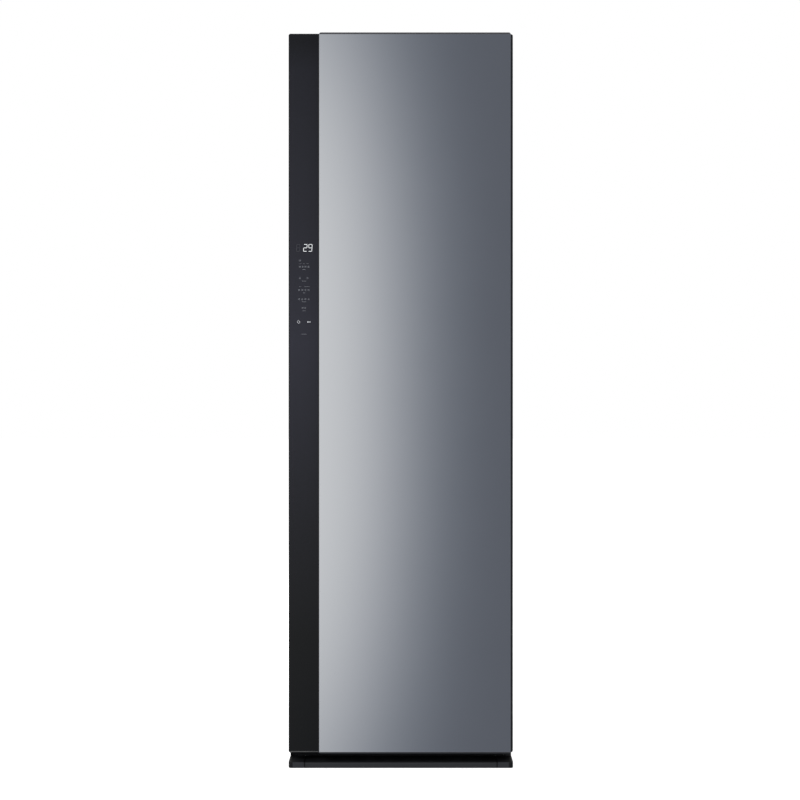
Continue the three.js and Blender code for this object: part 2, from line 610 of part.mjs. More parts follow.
// Steam chamber: one moulded liner with rounded corners, ledges for the shelf and slots for the hanger posts
function chamberLiner() {
  const { depth, wall, corner } = chamber;
  const half = CHAMBER_HALF;
  const z = [CHAMBER_BOTTOM, CHAMBER_TOP];
  const inner = rectangle([-half, half], z, corner);
  const outer = rectangle([-half - wall, half + wall], grow(z, wall), corner + wall);
  const frame = rectangle([-FLANGE_HALF, FLANGE_HALF], [FLANGE_BOTTOM, FLANGE_TOP], corner / 2);
  const shell = join(prism(outer, 'y', [0, depth + wall]), prism(frame, 'y', [0, wall]));
  const ledges = [-1, 1].map((side) => {
    const x = side > 0 ? [half - ledge.depth, half + wall / 2] : [-half - wall / 2, ledge.depth - half];
    return box(x, [ledge.front, ledge.back], [LEDGE_TOP - ledge.height, LEDGE_TOP]);
  });
  const slots = [-1, 1].map((side) => {
    const reach = post.radius + bar.shake + post.slotExtra;
    const u = [side * post.x - reach, side * post.x + reach];
    const v = span(hanger.behind, 2 * (post.radius + post.slotExtra));
    return prism(rectangle(u, v, post.radius), 'z', [z[1] - OVERRUN, z[1] + wall + OVERRUN]);
  });
  const floor = [z[0] - wall - OVERRUN, z[0] + OVERRUN];
  const suction = prism(
    rectangle(span(duct.x, inlet.width), span(inlet.y, inlet.length), corner / 2), 'z', floor,
  );
  const blow = box(scrollOutlet(), [outlet.front, outlet.back], floor);
  const hollow = prism(inner, 'y', [-OVERRUN, depth]);
  return node(
    'chamber_liner', cut(join(shell.subtract(hollow), ...ledges), ...slots, suction, blow), 'lightPlastic',
  );
}

const scrollOutlet = () => [duct.x + scroll.end - scroll.outletWidth, duct.x + scroll.end];

// Riser cover on the chamber's back wall: a foot with nozzle holes and an air grille, and a louvred duct
function riserCover() {
  const { half, corner, wall } = riser;
  const bottom = CHAMBER_BOTTOM + SEAT;
  const footTop = CHAMBER_BOTTOM + riser.footHeight;
  const back = chamber.depth - SEAT;
  const front = chamber.depth - riser.deep;
  const deep = chamber.depth - riser.foot;
  const inside = [-half + wall, half - wall];
  const tall = rectangle([-half, half], [bottom, RISER_TOP], [0, 0, corner, corner]);
  const low = box([-half, half], [deep, back], [bottom, footTop]);
  const round = corner - wall;
  const tallRoom = rectangle(inside, [bottom - OVERRUN, RISER_TOP - wall], [0, 0, round, round]);
  const lowRoom = box(inside, [deep + wall, back + OVERRUN], [bottom - OVERRUN, footTop - wall]);
  const slots = each(louvre.count, (index) => {
    const z = RISER_TOP - louvre.drop - index * louvre.pitch;
    return box(span(0, louvre.width), grow([front, front + wall], OVERRUN), [z, z + louvre.height]);
  });
  const grilleSlots = each(airGrille.count, (index) => {
    const z = CHAMBER_BOTTOM + airGrille.above + index * airGrille.pitch;
    return box(span(0, airGrille.width), grow([deep, deep + wall], OVERRUN), [z, z + airGrille.height]);
  });
  const jets = each(nozzle.count, (index) => {
    const x = (index - (nozzle.count - 1) / 2) * nozzle.pitch;
    const at = [x, 0, CHAMBER_BOTTOM + nozzle.above];
    return rod(nozzle.radius, 'y', grow([deep, deep + wall], OVERRUN), at, SMALL);
  });
  const shell = join(prism(tall, 'y', [front, back]), low);
  const room = prism(tallRoom, 'y', [front + wall, back + OVERRUN]);
  return node(
    'riser_cover', cut(shell, room, lowRoom, ...slots, ...grilleSlots, ...jets), 'palePlastic',
  );
}

// Chamber floor: a raised tray with slots, four short legs and a hole that frames the lint filter
function chamberFloor() {
  const { front, back, rise, height, leg, slots: count, slot, bar: web } = tread;
  const half = CHAMBER_HALF - tread.gap;
  const z = [CHAMBER_BOTTOM + rise, CHAMBER_BOTTOM + rise + height];
  const plate = prism(rectangle([-half, half], [front, back], chamber.corner / 2), 'z', z);
  const legs = [[-1, front], [1, front], [-1, back], [1, back]].map(([side, y]) => {
    const inward = y === front ? 3 * leg : -3 * leg;
    const at = [side * (half - 3 * leg), y + inward, 0];
    return rod(leg, 'z', [CHAMBER_BOTTOM + SEAT, z[0] + height / 2], at, SMALL);
  });
  const filterHole = box(
    span(duct.x, inlet.width + 2 * filter.rim + 2 * filter.gap),
    span(inlet.y, inlet.length + 2 * filter.rim + 2 * filter.gap),
    grow(z, OVERRUN),
  );
  const slots = each(count, (index) => {
    const x = treadSlots.left + index * (slot + web);
    return box([x, x + slot], [treadSlots.front, treadSlots.back], grow(z, OVERRUN));
  });
  return node('chamber_floor', cut(join(plate, ...legs), filterHole, ...slots), 'lightPlastic');
}

function chamberLamp() {
  const z = [CHAMBER_TOP - SEAT - lamp.height, CHAMBER_TOP - SEAT];
  const shape = rectangle(span(0, lamp.width), span(lamp.y, lamp.length), lamp.corner);
  return node('chamber_lamp', prism(shape, 'z', z), 'clearPlastic');
}

// Lint filter: a cassette of small windows with a pull tab, over the chamber's air inlet
function lintFilter() {
  const x = span(duct.x, inlet.width + 2 * filter.rim);
  const y = span(inlet.y, inlet.length + 2 * filter.rim);
  const z = [CHAMBER_BOTTOM + SEAT, CHAMBER_BOTTOM + SEAT + filter.height];
  const stepX = inlet.width / filter.columns;
  const stepY = inlet.length / filter.rows;
  const windows = each(filter.columns * filter.rows, (index) => {
    const left = duct.x - inlet.width / 2 + (index % filter.columns) * stepX;
    const low = inlet.y - inlet.length / 2 + Math.floor(index / filter.columns) * stepY;
    return box(
      grow([left, left + stepX], -filter.bar / 2), grow([low, low + stepY], -filter.bar / 2),
      grow(z, OVERRUN),
    );
  });
  const frame = cut(prism(rectangle(x, y, filter.rim / 2), 'z', z, TIGHT), ...windows);
  const tabY = inlet.y + stepY / 2;
  const tab = box(span(duct.x, filter.tab), span(tabY, filter.tabWall), [z[0], z[1] + filter.tabHeight]);
  const hole = rod(
    filter.tabHeight / 2 - filter.bar, 'y', grow(span(tabY, filter.tabWall), OVERRUN),
    [duct.x, 0, z[1] + filter.tabHeight / 2], SMALL,
  );
  return node('lint_filter', cut(join(frame, tab), hole), 'blackPlastic');
}

// Slatted shelf with a lip along its front edge, standing on the chamber's ledges
function slattedShelf() {
  const half = CHAMBER_HALF - 2 * RUN;
  const bottom = LEDGE_TOP + SEAT;
  const y = [shelf.front, shelf.back];
  const z = [bottom, bottom + shelf.height];
  const pitch = (2 * half - 2 * shelf.rim + shelf.bar) / shelf.slots;
  const slots = each(shelf.slots, (index) => {
    const left = -half + shelf.rim + index * pitch;
    return box([left, left + pitch - shelf.bar], grow(y, -2 * shelf.rim), grow(z, OVERRUN));
  });
  const plate = cut(prism(rectangle([-half, half], y, shelf.rim / 2), 'z', z), ...slots);
  const lip = box(
    [-half + shelf.rim, half - shelf.rim], [shelf.front, shelf.front + shelf.height],
    [bottom, bottom + shelf.lip],
  );
  return node('slatted_shelf', join(plate, lip), 'palePlastic');
}

// Door: a deep shell, foam inside it, and a liner that closes its back
const doorFace = (inset, corner) => rectangle(
  [-WIDTH / 2 + inset, WIDTH / 2 - inset], [door.lift + inset, HEIGHT - inset], corner,
);
const gripZ = () => span(grip.middle, grip.height);
const gripY = () => [DOOR_BACK - grip.behind - grip.width, DOOR_BACK - grip.behind];
const displayX = () => [-WIDTH / 2 + display.inset, -WIDTH / 2 + display.inset + display.width];
const displayZ = () => span(display.middle, display.height);
const notchX = () => [WIDTH / 2 - hinge.notch, WIDTH / 2];
const notchFloor = () => HEIGHT - hinge.notchDepth;

function doorShell() {
  const wall = MOULDING;
  const y = [SHELL_FRONT, DOOR_BACK];
  const at = [HINGE_X, HINGE_Y, 0];
  const tray = cut(
    prism(doorFace(0, door.corner), 'y', y),
    prism(doorFace(wall, door.corner - wall), 'y', [SHELL_FRONT + wall, DOOR_BACK + OVERRUN]),
  );
  const gripRoom = [[-WIDTH / 2 - OVERRUN, -WIDTH / 2 + grip.depth], gripY(), gripZ()];
  const gripBox = [
    [-WIDTH / 2 + wall / 2, -WIDTH / 2 + grip.depth + wall], grow(gripY(), wall), grow(gripZ(), wall),
  ];
  const notchBox = [
    [notchX()[0] - wall, WIDTH / 2 - wall / 2],
    [SHELL_FRONT + wall / 2, DOOR_BACK],
    [notchFloor() - wall, HEIGHT - wall / 2],
  ];
  const notch = [
    [notchX()[0], WIDTH / 2 + OVERRUN],
    [SHELL_FRONT + wall, DOOR_BACK + OVERRUN],
    [notchFloor(), HEIGHT + OVERRUN],
  ];
  const upperBoss = rod(
    hinge.boss, 'z', [notchFloor() - hinge.bossLength, notchFloor() - wall / 2], at, ROUND,
  );
  const lowerBoss = rod(hinge.boss, 'z', [door.lift, door.lift + hinge.bossLength], at, ROUND);
  const pinBore = bore(hinge.pin);
  const upperBore = rod(
    pinBore, 'z', [notchFloor() - hinge.bossLength + wall, notchFloor() + OVERRUN], at, ROUND,
  );
  const lowerBore = rod(pinBore, 'z', [door.lift - OVERRUN, door.lift + hinge.bossLength - wall], at, ROUND);
  const window = box(displayX(), grow([SHELL_FRONT, SHELL_FRONT + wall], OVERRUN), displayZ());
  const whole = join(tray, box(...gripBox), box(...notchBox), upperBoss, lowerBoss);
  return node(
    'door_shell', cut(whole, box(...gripRoom), box(...notch), upperBore, lowerBore, window), 'blackPlastic',
  );
}

function doorCore() {
  const wall = MOULDING + SEAT;
  const y = [SHELL_FRONT + wall, DOOR_BACK - chamber.wall - SEAT];
  const at = [HINGE_X, HINGE_Y, 0];
  const grips = [
    [-WIDTH / 2 - OVERRUN, -WIDTH / 2 + grip.depth + wall], grow(gripY(), wall), grow(gripZ(), wall),
  ];
  const notch = [
    [notchX()[0] - wall, WIDTH / 2 + OVERRUN], grow(y, OVERRUN), [notchFloor() - wall, HEIGHT + OVERRUN],
  ];
  const boards = [
    grow(displayX(), boardRoom.side + display.margin),
    [y[0] - OVERRUN, y[0] + boardRoom.deep],
    grow(displayZ(), boardRoom.side + display.margin),
  ];
  const upperRoom = rod(
    hinge.boss + RUN, 'z', [notchFloor() - hinge.bossLength - RUN, HEIGHT + OVERRUN], at, ROUND,
  );
  const lowerRoom = rod(
    hinge.boss + RUN, 'z', [door.lift - OVERRUN, door.lift + hinge.bossLength + RUN], at, ROUND,
  );
  const core = prism(doorFace(wall, door.corner - MOULDING), 'y', y);
  return node(
    'door_core', cut(core, box(...grips), box(...notch), box(...boards), upperRoom, lowerRoom), 'foam',
  );
}

// Door liner: a flat skin with a raised dyke that reaches into the chamber and carries the press and the clip
function doorLiner() {
  const inset = MOULDING + SEAT;
  const wall = chamber.wall;
  const z = [CHAMBER_BOTTOM + dyke.below, CHAMBER_TOP - dyke.above];
  const skin = prism(doorFace(inset, door.corner - MOULDING), 'y', [DOOR_BACK - wall, DOOR_BACK]);
  const raised = prism(
    rectangle([-DYKE_HALF, DYKE_HALF], z, dyke.corner), 'y', [DOOR_BACK - wall, DYKE_FACE],
  );
  const hollow = prism(
    rectangle(grow([-DYKE_HALF, DYKE_HALF], -wall), grow(z, -wall), dyke.corner - wall),
    'y', [DOOR_BACK - wall - OVERRUN, DYKE_FACE - wall],
  );
  const notch = box(
    [notchX()[0] - inset, WIDTH / 2], grow([DOOR_BACK - wall, DOOR_BACK], OVERRUN),
    [notchFloor() - inset, HEIGHT],
  );
  const knuckles = pressKnuckles().map((range) => box(
    span(pressHinge.x, 2 * pressHinge.half), [DYKE_FACE - wall / 2, PRESS_BACK + pressHinge.pin * 2], range,
  ));
  const knuckleBore = rod(
    bore(pressHinge.pin, SMALL), 'z', PRESS_Z, [pressHinge.x, PRESS_BACK, 0], SMALL,
  );
  const pivotAt = [latch.x, 0, LATCH_Z];
  const pivot = rod(latch.boss, 'y', [DYKE_FACE - wall / 2, PRESS_FACE - SEAT], pivotAt, ROUND);
  const pivotBore = rod(
    bore(latch.pin, SMALL), 'y', [PRESS_FACE - latch.pinLength - 2 * RUN, PRESS_FACE + OVERRUN],
    pivotAt, SMALL,
  );
  const shell = cut(join(skin, raised), hollow, notch);
  return node('door_liner', cut(join(shell, ...knuckles, pivot), knuckleBore, pivotBore), 'palePlastic');
}

const pressKnuckles = () => [
  [PRESS_Z[0] + pressHinge.ends, PRESS_Z[0] + pressHinge.ends + pressHinge.height],
  [PRESS_Z[1] - pressHinge.ends - pressHinge.height, PRESS_Z[1] - pressHinge.ends],
];

// Magnetic door gasket: a flat foot with a narrower bulb that meets the cabinet
function doorGasket() {
  const loop = (inset, width, range) => {
    const x = [-WIDTH / 2 + gasket.inset + inset, WIDTH / 2 - gasket.inset - inset];
    const z = [door.lift + gasket.above + inset, HEIGHT - gasket.below - inset];
    const inner = rectangle(grow(x, -width), grow(z, -width), gasket.corner - inset - width / 2);
    return cut(
      prism(rectangle(x, z, gasket.corner - inset), 'y', range), prism(inner, 'y', grow(range, OVERRUN)),
    );
  };
  const foot = loop(0, gasket.width, [DOOR_BACK + SEAT, DOOR_BACK + SEAT + gasket.base]);
  const edge = (gasket.width - gasket.bulb) / 2;
  const bulb = loop(edge, gasket.bulb, [DOOR_BACK + gasket.base, CABINET_FRONT - SEAT]);
  return node('door_gasket', join(foot, bulb), 'rubber');
}

// Mirror panel: a ribbed tray that stands proud of the control strip, with the glass let into its face
const mirrorX = () => [MIRROR_LEFT, MIRROR_RIGHT];
const mirrorZ = () => [door.lift + door.mirrorDrop, HEIGHT - door.mirrorDrop];

function mirrorFrame() {
  const x = mirrorX();
  const z = mirrorZ();
  const y = [FRONT, SHELL_FRONT - SEAT];
  const slab = prism(rectangle(x, z, door.corner), 'y', y);
  const glassRoom = box(
    grow(x, -door.sideTrim), [FRONT - OVERRUN, FRONT + door.glass + SEAT], grow(z, -door.trim),
  );
  const inner = grow(z, -mirrorTray.wall);
  const pitch = length(inner) / mirrorTray.ribs;
  const rooms = each(mirrorTray.ribs, (index) => {
    const low = inner[0] + index * pitch;
    const room = [
      low + (index ? mirrorTray.rib / 2 : 0),
      low + pitch - (index < mirrorTray.ribs - 1 ? mirrorTray.rib / 2 : 0),
    ];
    return box(grow(x, -mirrorTray.wall), [FRONT + door.glass + mirrorTray.wall, y[1] + OVERRUN], room);
  });
  return node('mirror_frame', cut(slab, glassRoom, ...rooms), 'darkTrim');
}

function mirrorGlass() {
  const x = grow(mirrorX(), -door.sideTrim - SEAT);
  const z = grow(mirrorZ(), -door.trim - SEAT);
  return node('mirror_glass', box(x, [FRONT, FRONT + door.glass], z), 'mirror');
}

function controlGlass() {
  const x = [-WIDTH / 2, STRIP_RIGHT];
  const shape = rectangle(x, [door.lift, HEIGHT], [door.corner, 0, 0, door.corner]);
  return node('control_glass', prism(shape, 'y', [STRIP_FRONT, STRIP_FRONT + door.glass]), 'blackGlass');
}

// Control board: a display block in the shell's window on a circuit board behind it
function controlBoard() {
  const back = SHELL_FRONT + MOULDING + display.standoff;
  const block = box(grow(displayX(), -RUN), [SHELL_FRONT, back], grow(displayZ(), -RUN));
  const board = box(
    grow(displayX(), display.margin), [back, back + display.board], grow(displayZ(), display.margin),
  );
  return node('control_board', join(block, board), 'circuitBoard');
}

// Trouser press: a felt pad on the dyke, and a plate that swings out of the way on a long pin
function pressPad() {
  const shape = rectangle([-pad.half, pad.half], grow(PRESS_Z, -pad.inset), pad.corner);
  return node('press_pad', prism(shape, 'y', [DYKE_FACE + SEAT, PAD_FACE]), 'felt');
}

function pressPlate() {
  const { bevel } = press;
  const u = [press.left + bevel, press.right - bevel];
  const v = grow(PRESS_Z, -bevel);
  const crowned = new THREE.ExtrudeGeometry(rectangle(u, v, press.corner - bevel), {
    depth: press.thick - 2 * bevel,
    bevelThickness: bevel,
    bevelSize: bevel,
    bevelSegments: 1,
    curveSegments: ARC,
  });
  const plate = solid(crowned.rotateX(Math.PI / 2).translate(0, PRESS_FACE - bevel, 0));
  const pitch = (press.right - press.left - 2 * pressRib.margin) / (pressRib.count - 1);
  const grooves = each(pressRib.count, (index) => {
    const x = span(press.left + pressRib.margin + index * pitch, pressRib.width);
    const z = grow(PRESS_Z, -pressRib.margin);
    return box(x, [PRESS_FACE - pressRib.rise, PRESS_FACE + OVERRUN], z);
  });
  const [low, high] = pressKnuckles();
  const armZ = [low[1] + pressHinge.armGap, high[0] - pressHinge.armGap];
  const arm = box(
    [press.right - pressHinge.arm, pressHinge.x], span(PRESS_BACK + pressHinge.arm / 2, pressHinge.arm), armZ,
  );
  const pin = rod(
    pressHinge.pin, 'z', [low[0] - pressHinge.end, high[1] + pressHinge.end], [pressHinge.x, PRESS_BACK, 0],
    SMALL,
  );
  return node('press_plate', cut(join(plate, arm, pin), ...grooves), 'lightPlastic');
}

// Turn button that holds the plate shut: upright when free, across the plate's edge when turned
function pressLatch() {
  const y = [PRESS_FACE + SEAT, PRESS_FACE + SEAT + latch.thick];
  const shape = rectangle(span(0, latch.width), span(0, latch.length), latch.width / 2 - SEAT);
  const pin = rod(latch.pin, 'y', [y[0] - latch.pinLength, y[0] + latch.thick / 2], [0, 0, 0], SMALL);
  const mesh = node('press_latch', join(prism(shape, 'y', y), pin), 'blackPlastic');
  mesh.position.set(latch.x, 0, LATCH_Z);
  return mesh;
}

// Trouser clip: a fixed jaw with ears, and a toothed jaw that hangs on pins between them
const jawY = () => DYKE_FACE + clip.ahead;

function trouserClip() {
  const y = [DYKE_FACE + SEAT, DYKE_FACE + SEAT + clip.thick];
  const back = box([-clip.half, clip.half], y, [CLIP_BOTTOM, CLIP_BOTTOM + clip.height]);
  const ears = [-1, 1].map((side) => {
    const x = side > 0 ? [clip.half, clip.half + clip.ear] : [-clip.half - clip.ear, -clip.half];
    return box(x, [y[0], jawY() + jaw.ear], span(CLIP_PIN_Z, 2 * jaw.ear));
  });
  const wide = [-clip.half - clip.ear, clip.half + clip.ear];
  const link = box(wide, y, [CLIP_PIN_Z - jaw.ear, CLIP_BOTTOM + clip.height]);
  const pinBore = rod(bore(clip.pin, SMALL), 'x', grow(wide, OVERRUN), [0, jawY(), CLIP_PIN_Z], SMALL);
  return node('trouser_clip', cut(join(back, link, ...ears), pinBore), 'blackPlastic');
}

function clipJaw() {
  const half = clip.half - RUN;
  const y = span(0, jaw.thick);
  const plate = box([-half, half], y, [-jaw.height, clip.pin]);
  const pitch = 2 * half / jaw.teeth;
  const teeth = each(jaw.teeth, (index) => {
    const x = span(-half + pitch * (index + 1 / 2), jaw.tooth);
    return box(x, [y[0] - jaw.bite, y[1]], [-jaw.height, -jaw.height + jaw.tooth]);
  });
  const pin = rod(
    clip.pin, 'x', [-clip.half - clip.ear + SEAT, clip.half + clip.ear - SEAT], [0, 0, 0], SMALL,
  );
  const mesh = node('clip_jaw', join(plate, pin, ...teeth), 'steel');
  mesh.position.set(0, jawY(), CLIP_PIN_Z);
  return mesh;
}

// Moving hanger: a fixed rail frame on the ceiling, a carriage that shakes along it, and the bar below
function railFrame() {
  const bottom = CEILING_TOP + SEAT;
  const brackets = [-1, 1].map((side) => {
    const wall = side > 0 ? [rail.half, rail.half + rail.wall] : [-rail.half - rail.wall, -rail.half];
    const foot = side > 0 ? [rail.half, rail.half + rail.foot] : [-rail.half - rail.foot, -rail.half];
    return join(
      box(wall, span(0, rail.width), [bottom, RAIL_Z + rail.rise]),
      box(foot, span(0, rail.width), [bottom, bottom + rail.wall]),
    );
  });
  const rods = [-1, 1].map((side) => rod(
    rail.radius, 'x', [-rail.half - rail.wall, rail.half + rail.wall], [0, side * rail.y, RAIL_Z], SMALL,
  ));
  const buffers = [[-1, -1], [-1, 1], [1, -1], [1, 1]].map(([end, side]) => {
    const x = [end * (rail.half - rail.bufferLength), end * rail.half].sort((a, b) => a - b);
    return rod(rail.buffer, 'x', x, [0, side * rail.y, RAIL_Z], SMALL);
  });
  return node('hanger_rails', join(...brackets, ...rods, ...buffers), 'zinc');
}

function hangerCarriage() {
  const z = [CARRIAGE_Z, CARRIAGE_Z + carriage.plate];
  const plate = prism(
    rectangle([-carriage.half, carriage.half], span(0, carriage.width), carriage.corner), 'z', z,
  );
  const bushes = [[-1, -1], [-1, 1], [1, -1], [1, 1]].map(([end, side]) => box(
    span(end * carriage.bushX, carriage.bushLength),
    span(side * rail.y, carriage.bush),
    [RAIL_Z - carriage.bush / 2, CARRIAGE_Z],
  ));
  const bores = [-1, 1].map((side) => rod(
    bore(rail.radius, SMALL), 'x', [-carriage.half, carriage.half], [0, side * rail.y, RAIL_Z], SMALL,
  ));
  const posts = [-1, 1].map((side) => rod(
    post.radius, 'z', [BAR_Z + post.seat, CARRIAGE_Z], [side * post.x, 0, 0], SMALL,
  ));
  const spindles = [-1, 1].map((side) => join(
    rod(spindle.radius, 'z', [z[0], z[1] + spindle.above], [side * WHEEL_RADIUS, 0, 0], SMALL),
    rod(weight.hub, 'z', [z[0], GEAR_Z - SEAT], [side * WHEEL_RADIUS, 0, 0], SMALL),
  ));
  const shaftHole = rod(bore(driveMotor.shaft, SMALL), 'z', grow(z, OVERRUN), [MOTOR_X, 0, 0], SMALL);
  return node(
    'hanger_carriage', cut(join(plate, ...bushes, ...posts, ...spindles), ...bores, shaftHole), 'steel',
  );
}

function hangerBar() {
  const { half, radius, dome, notches, notch, pitch } = bar;
  const profile = [[0, -half], [radius - dome / 2, -half + dome / 4], [radius, -half + dome]];
  const mirrored = profile.map(([r, along]) => [r, -along]).reverse();
  const round = turned([...profile, ...mirrored], 'x', [0, 0, BAR_Z], ROUND);
  const saddles = each(notches, (index) => {
    const x = (index - (notches - 1) / 2) * pitch;
    return rod(notch, 'y', span(0, 4 * radius), [x, 0, BAR_Z + radius + notch / 2], SMALL);
  });
  const sockets = [-1, 1].map((side) => rod(
    bore(post.radius, SMALL), 'z', [BAR_Z + post.seat - SEAT, BAR_Z + 2 * radius],
    [side * post.x, 0, 0], SMALL,
  ));
  return node('hanger_bar', cut(round, ...saddles, ...sockets), 'aluminium');
}

function shakeMotor() {
  const top = CARRIAGE_Z - SEAT;
  const { radius, height, cap, rim } = driveMotor;
  const body = turned([
    [0, top - height],
    [rim, top - height],
    [radius, top - height + cap],
    [radius, top - cap],
    [rim, top],
    [0, top],
  ], 'z', [MOTOR_X, 0, 0]);
  const shaft = rod(
    bore(driveMotor.shaft, SMALL), 'z', [top - driveMotor.shaftIn - RUN, top + OVERRUN], [MOTOR_X, 0, 0],
    SMALL,
  );
  return node('shake_motor', body.subtract(shaft), 'blackEnamel');
}

// Outline of a spur gear with involute flanks, a tooth on +u when turn is zero
function gearOutline(teeth, turn) {
  const pitchRadius = gearSet.module * teeth / 2;
  const baseRadius = pitchRadius * Math.cos(gearSet.pressure * Math.PI / 180);
  const tip = pitchRadius + gearSet.module * addendumShares.tip;
  const root = pitchRadius - gearSet.module * addendumShares.root;
  const involute = (radius) => {
    const angle = Math.acos(Math.min(1, baseRadius / radius));
    return Math.tan(angle) - angle;
  };
  const halfAtPitch = Math.PI / (2 * teeth) - gearSet.backlash / (2 * pitchRadius);
  const halfAngle = (radius) => halfAtPitch + involute(pitchRadius) - involute(Math.max(radius, baseRadius));
  const stations = [root, pitchRadius, tip];
  const points = [];
  each(teeth, (index) => {
    const centre = turn + index * 2 * Math.PI / teeth;
    const flank = stations.map((radius) => [radius, halfAngle(radius)]);
    flank.forEach(([radius, half]) => points.push([
      radius * Math.cos(centre - half), radius * Math.sin(centre - half),
    ]));
    [...flank].reverse().forEach(([radius, half]) => points.push([
      radius * Math.cos(centre + half), radius * Math.sin(centre + half),
    ]));
  });
  return outline(points);
}

function drivePinion() {
  const z = [GEAR_Z, GEAR_Z + gearSet.face];
  const gear = prism(gearOutline(gearSet.pinionTeeth, Math.PI / gearSet.pinionTeeth), 'z', z);
  const shaft = rod(
    driveMotor.shaft, 'z', [CARRIAGE_Z - driveMotor.shaftIn, z[1] + driveMotor.cap], [0, 0, 0], SMALL,
  );
  const mesh = node('drive_pinion', join(gear, shaft), 'steel');
  mesh.position.set(MOTOR_X, 0, 0);
  return mesh;
}

// Eccentric weight: a gear with a half-round mass on it; the two masses start on opposite sides
function weightGear(name, side) {
  const z = [GEAR_Z, GEAR_Z + gearSet.face];
  const turn = side < 0 ? 0 : Math.PI / gearSet.wheelTeeth;
  const gear = prism(gearOutline(gearSet.wheelTeeth, turn), 'z', z);
  const half = new THREE.Shape();
  const start = side < 0 ? 0 : Math.PI;
  half.moveTo(weight.radius * Math.cos(start), 0);
  half.absarc(0, 0, weight.radius, start, start + Math.PI);
  half.closePath();
  const mass = prism(half, 'z', [z[1] - SEAT, z[1] + weight.height], SMALL);
  const hub = rod(weight.hub, 'z', [z[0], z[1] + weight.height], [0, 0, 0], SMALL);
  const hole = rod(
    bore(spindle.radius, SMALL), 'z', grow([z[0], z[1] + weight.height], OVERRUN), [0, 0, 0], SMALL,
  );
  const mesh = node(name, cut(join(gear, mass, hub), hole), 'steel');
  mesh.position.set(side * WHEEL_RADIUS, 0, 0);
  return mesh;
}

// Tank bay: a moulded box open to the front, with a divider and low rails that guide the tanks
function tankBay() {
  const { bottom, depth, wall, corner, divider, rail: rib, railHeight } = bay;
  const half = CHAMBER_HALF;
  const z = [bottom, BAY_TOP];
  const outer = rectangle([-half - wall, half + wall], grow(z, wall), corner + wall);
  const frame = rectangle(
    [-FLANGE_HALF, FLANGE_HALF], [grille.top + SEAT, FLANGE_BOTTOM - SEAT], corner / 2,
  );
  const shell = join(prism(outer, 'y', [0, depth + wall]), prism(frame, 'y', [0, wall]));
  const hollow = prism(rectangle([-half, half], z, corner), 'y', [-OVERRUN, depth]);
  const run = [corner, depth + wall / 2];
  const middleWall = box([-divider, divider], run, grow(z, wall / 2));
  const rails = [-1, 1].flatMap((side) => [-1, 1].map((edge) => {
    const face = side * TANK_X + edge * (TANK_WIDTH / 2 + RUN);
    const x = edge > 0 ? [face, face + rib] : [face - rib, face];
    return box(x, run, [bottom - wall / 2, bottom + railHeight]);
  }));
  return node('tank_bay', join(cut(shell, hollow), middleWall, ...rails), 'lightPlastic');
}

// Water tank, in its own frame: front face at y 0, bottom at z 0. It has a filling mouth and a handle pocket.
function waterTank(name) {
  const { depth, height, wall, corner } = tank;
  const half = TANK_WIDTH / 2;
  const outer = prism(rectangle([-half, half], [0, depth], corner), 'z', [0, height]);
  const hollow = prism(
    rectangle([-half + wall, half - wall], [wall, depth - wall], corner - wall), 'z', [wall, height - wall],
  );
  const pocketWalls = box(
    span(0, 2 * (pocket.half + pocket.side)), [wall / 2, pocket.deep + wall], grow(POCKET_Z, wall),
  );
  const pocketRoom = box(span(0, 2 * pocket.half), [-OVERRUN, pocket.deep], POCKET_Z);
  const filling = prism(
    rectangle([-mouth.half, mouth.half], [mouth.front, mouth.back], mouth.corner), 'z',
    [height - 2 * wall, height + OVERRUN],
  );
  const pinHole = rod(
    bore(handle.pin, SMALL), 'x', span(0, 2 * (handle.half + handle.pinIn + 2 * RUN)),
    [0, handle.y, HANDLE_PIN_Z], SMALL,
  );
  return node(name, cut(join(cut(outer, hollow), pocketWalls), pocketRoom, filling, pinHole), 'clearPlastic');
}

// Fold-out handle of a tank: a flat loop on two short pins
function tankHandle(name) {
  const y = span(handle.y, handle.thick);
  const x = [-handle.half, handle.half];
  const shape = rectangle(x, HANDLE_Z, handle.thick);
  const window = rectangle(grow(x, -handle.bar), grow(HANDLE_Z, -handle.bar), handle.thick);
  const pins = rod(
    handle.pin, 'x', span(0, 2 * (handle.half + handle.pinIn + RUN)), [0, handle.y, HANDLE_PIN_Z], SMALL,
  );
  const loop = cut(prism(shape, 'y', y), prism(window, 'y', grow(y, OVERRUN)));
  return node(name, join(loop, pins), 'blackPlastic');
}

// Air duct: a casing from the chamber's inlet, past both coils, to the fan
const ductX = () => span(duct.x, 2 * duct.half);

function airDuct() {
  const { front, back, bottom, wall } = duct;
  const x = ductX();
  const y = [front, back];
  const z = [bottom, UNDER_CHAMBER];
  const room = box(grow(x, -wall), grow(y, -wall), grow(z, -wall));
  const top = box(span(duct.x, inlet.width), span(inlet.y, inlet.length), [z[1] - 2 * wall, z[1] + OVERRUN]);
  const rear = box(
    grow(x, -ductMouth.margin), [back - 2 * wall, back + OVERRUN], [ductMouth.rearBottom, ductMouth.rearTop],
  );
  const holes = [stubs.evaporator, stubs.condenser].map((height, index) => rod(
    bore(coil.stub, SMALL), 'x', [x[1] - 2 * wall, x[1] + OVERRUN], [0, coilY(index), height], SMALL,
  ));
  return node('air_duct', cut(box(x, y, z), room, top, rear, ...holes), 'blackPlastic');
}

const coilY = (index) => (index
  ? coil.front + coil.evaporator + coil.gap + coil.condenser / 2
  : coil.front + coil.evaporator / 2);

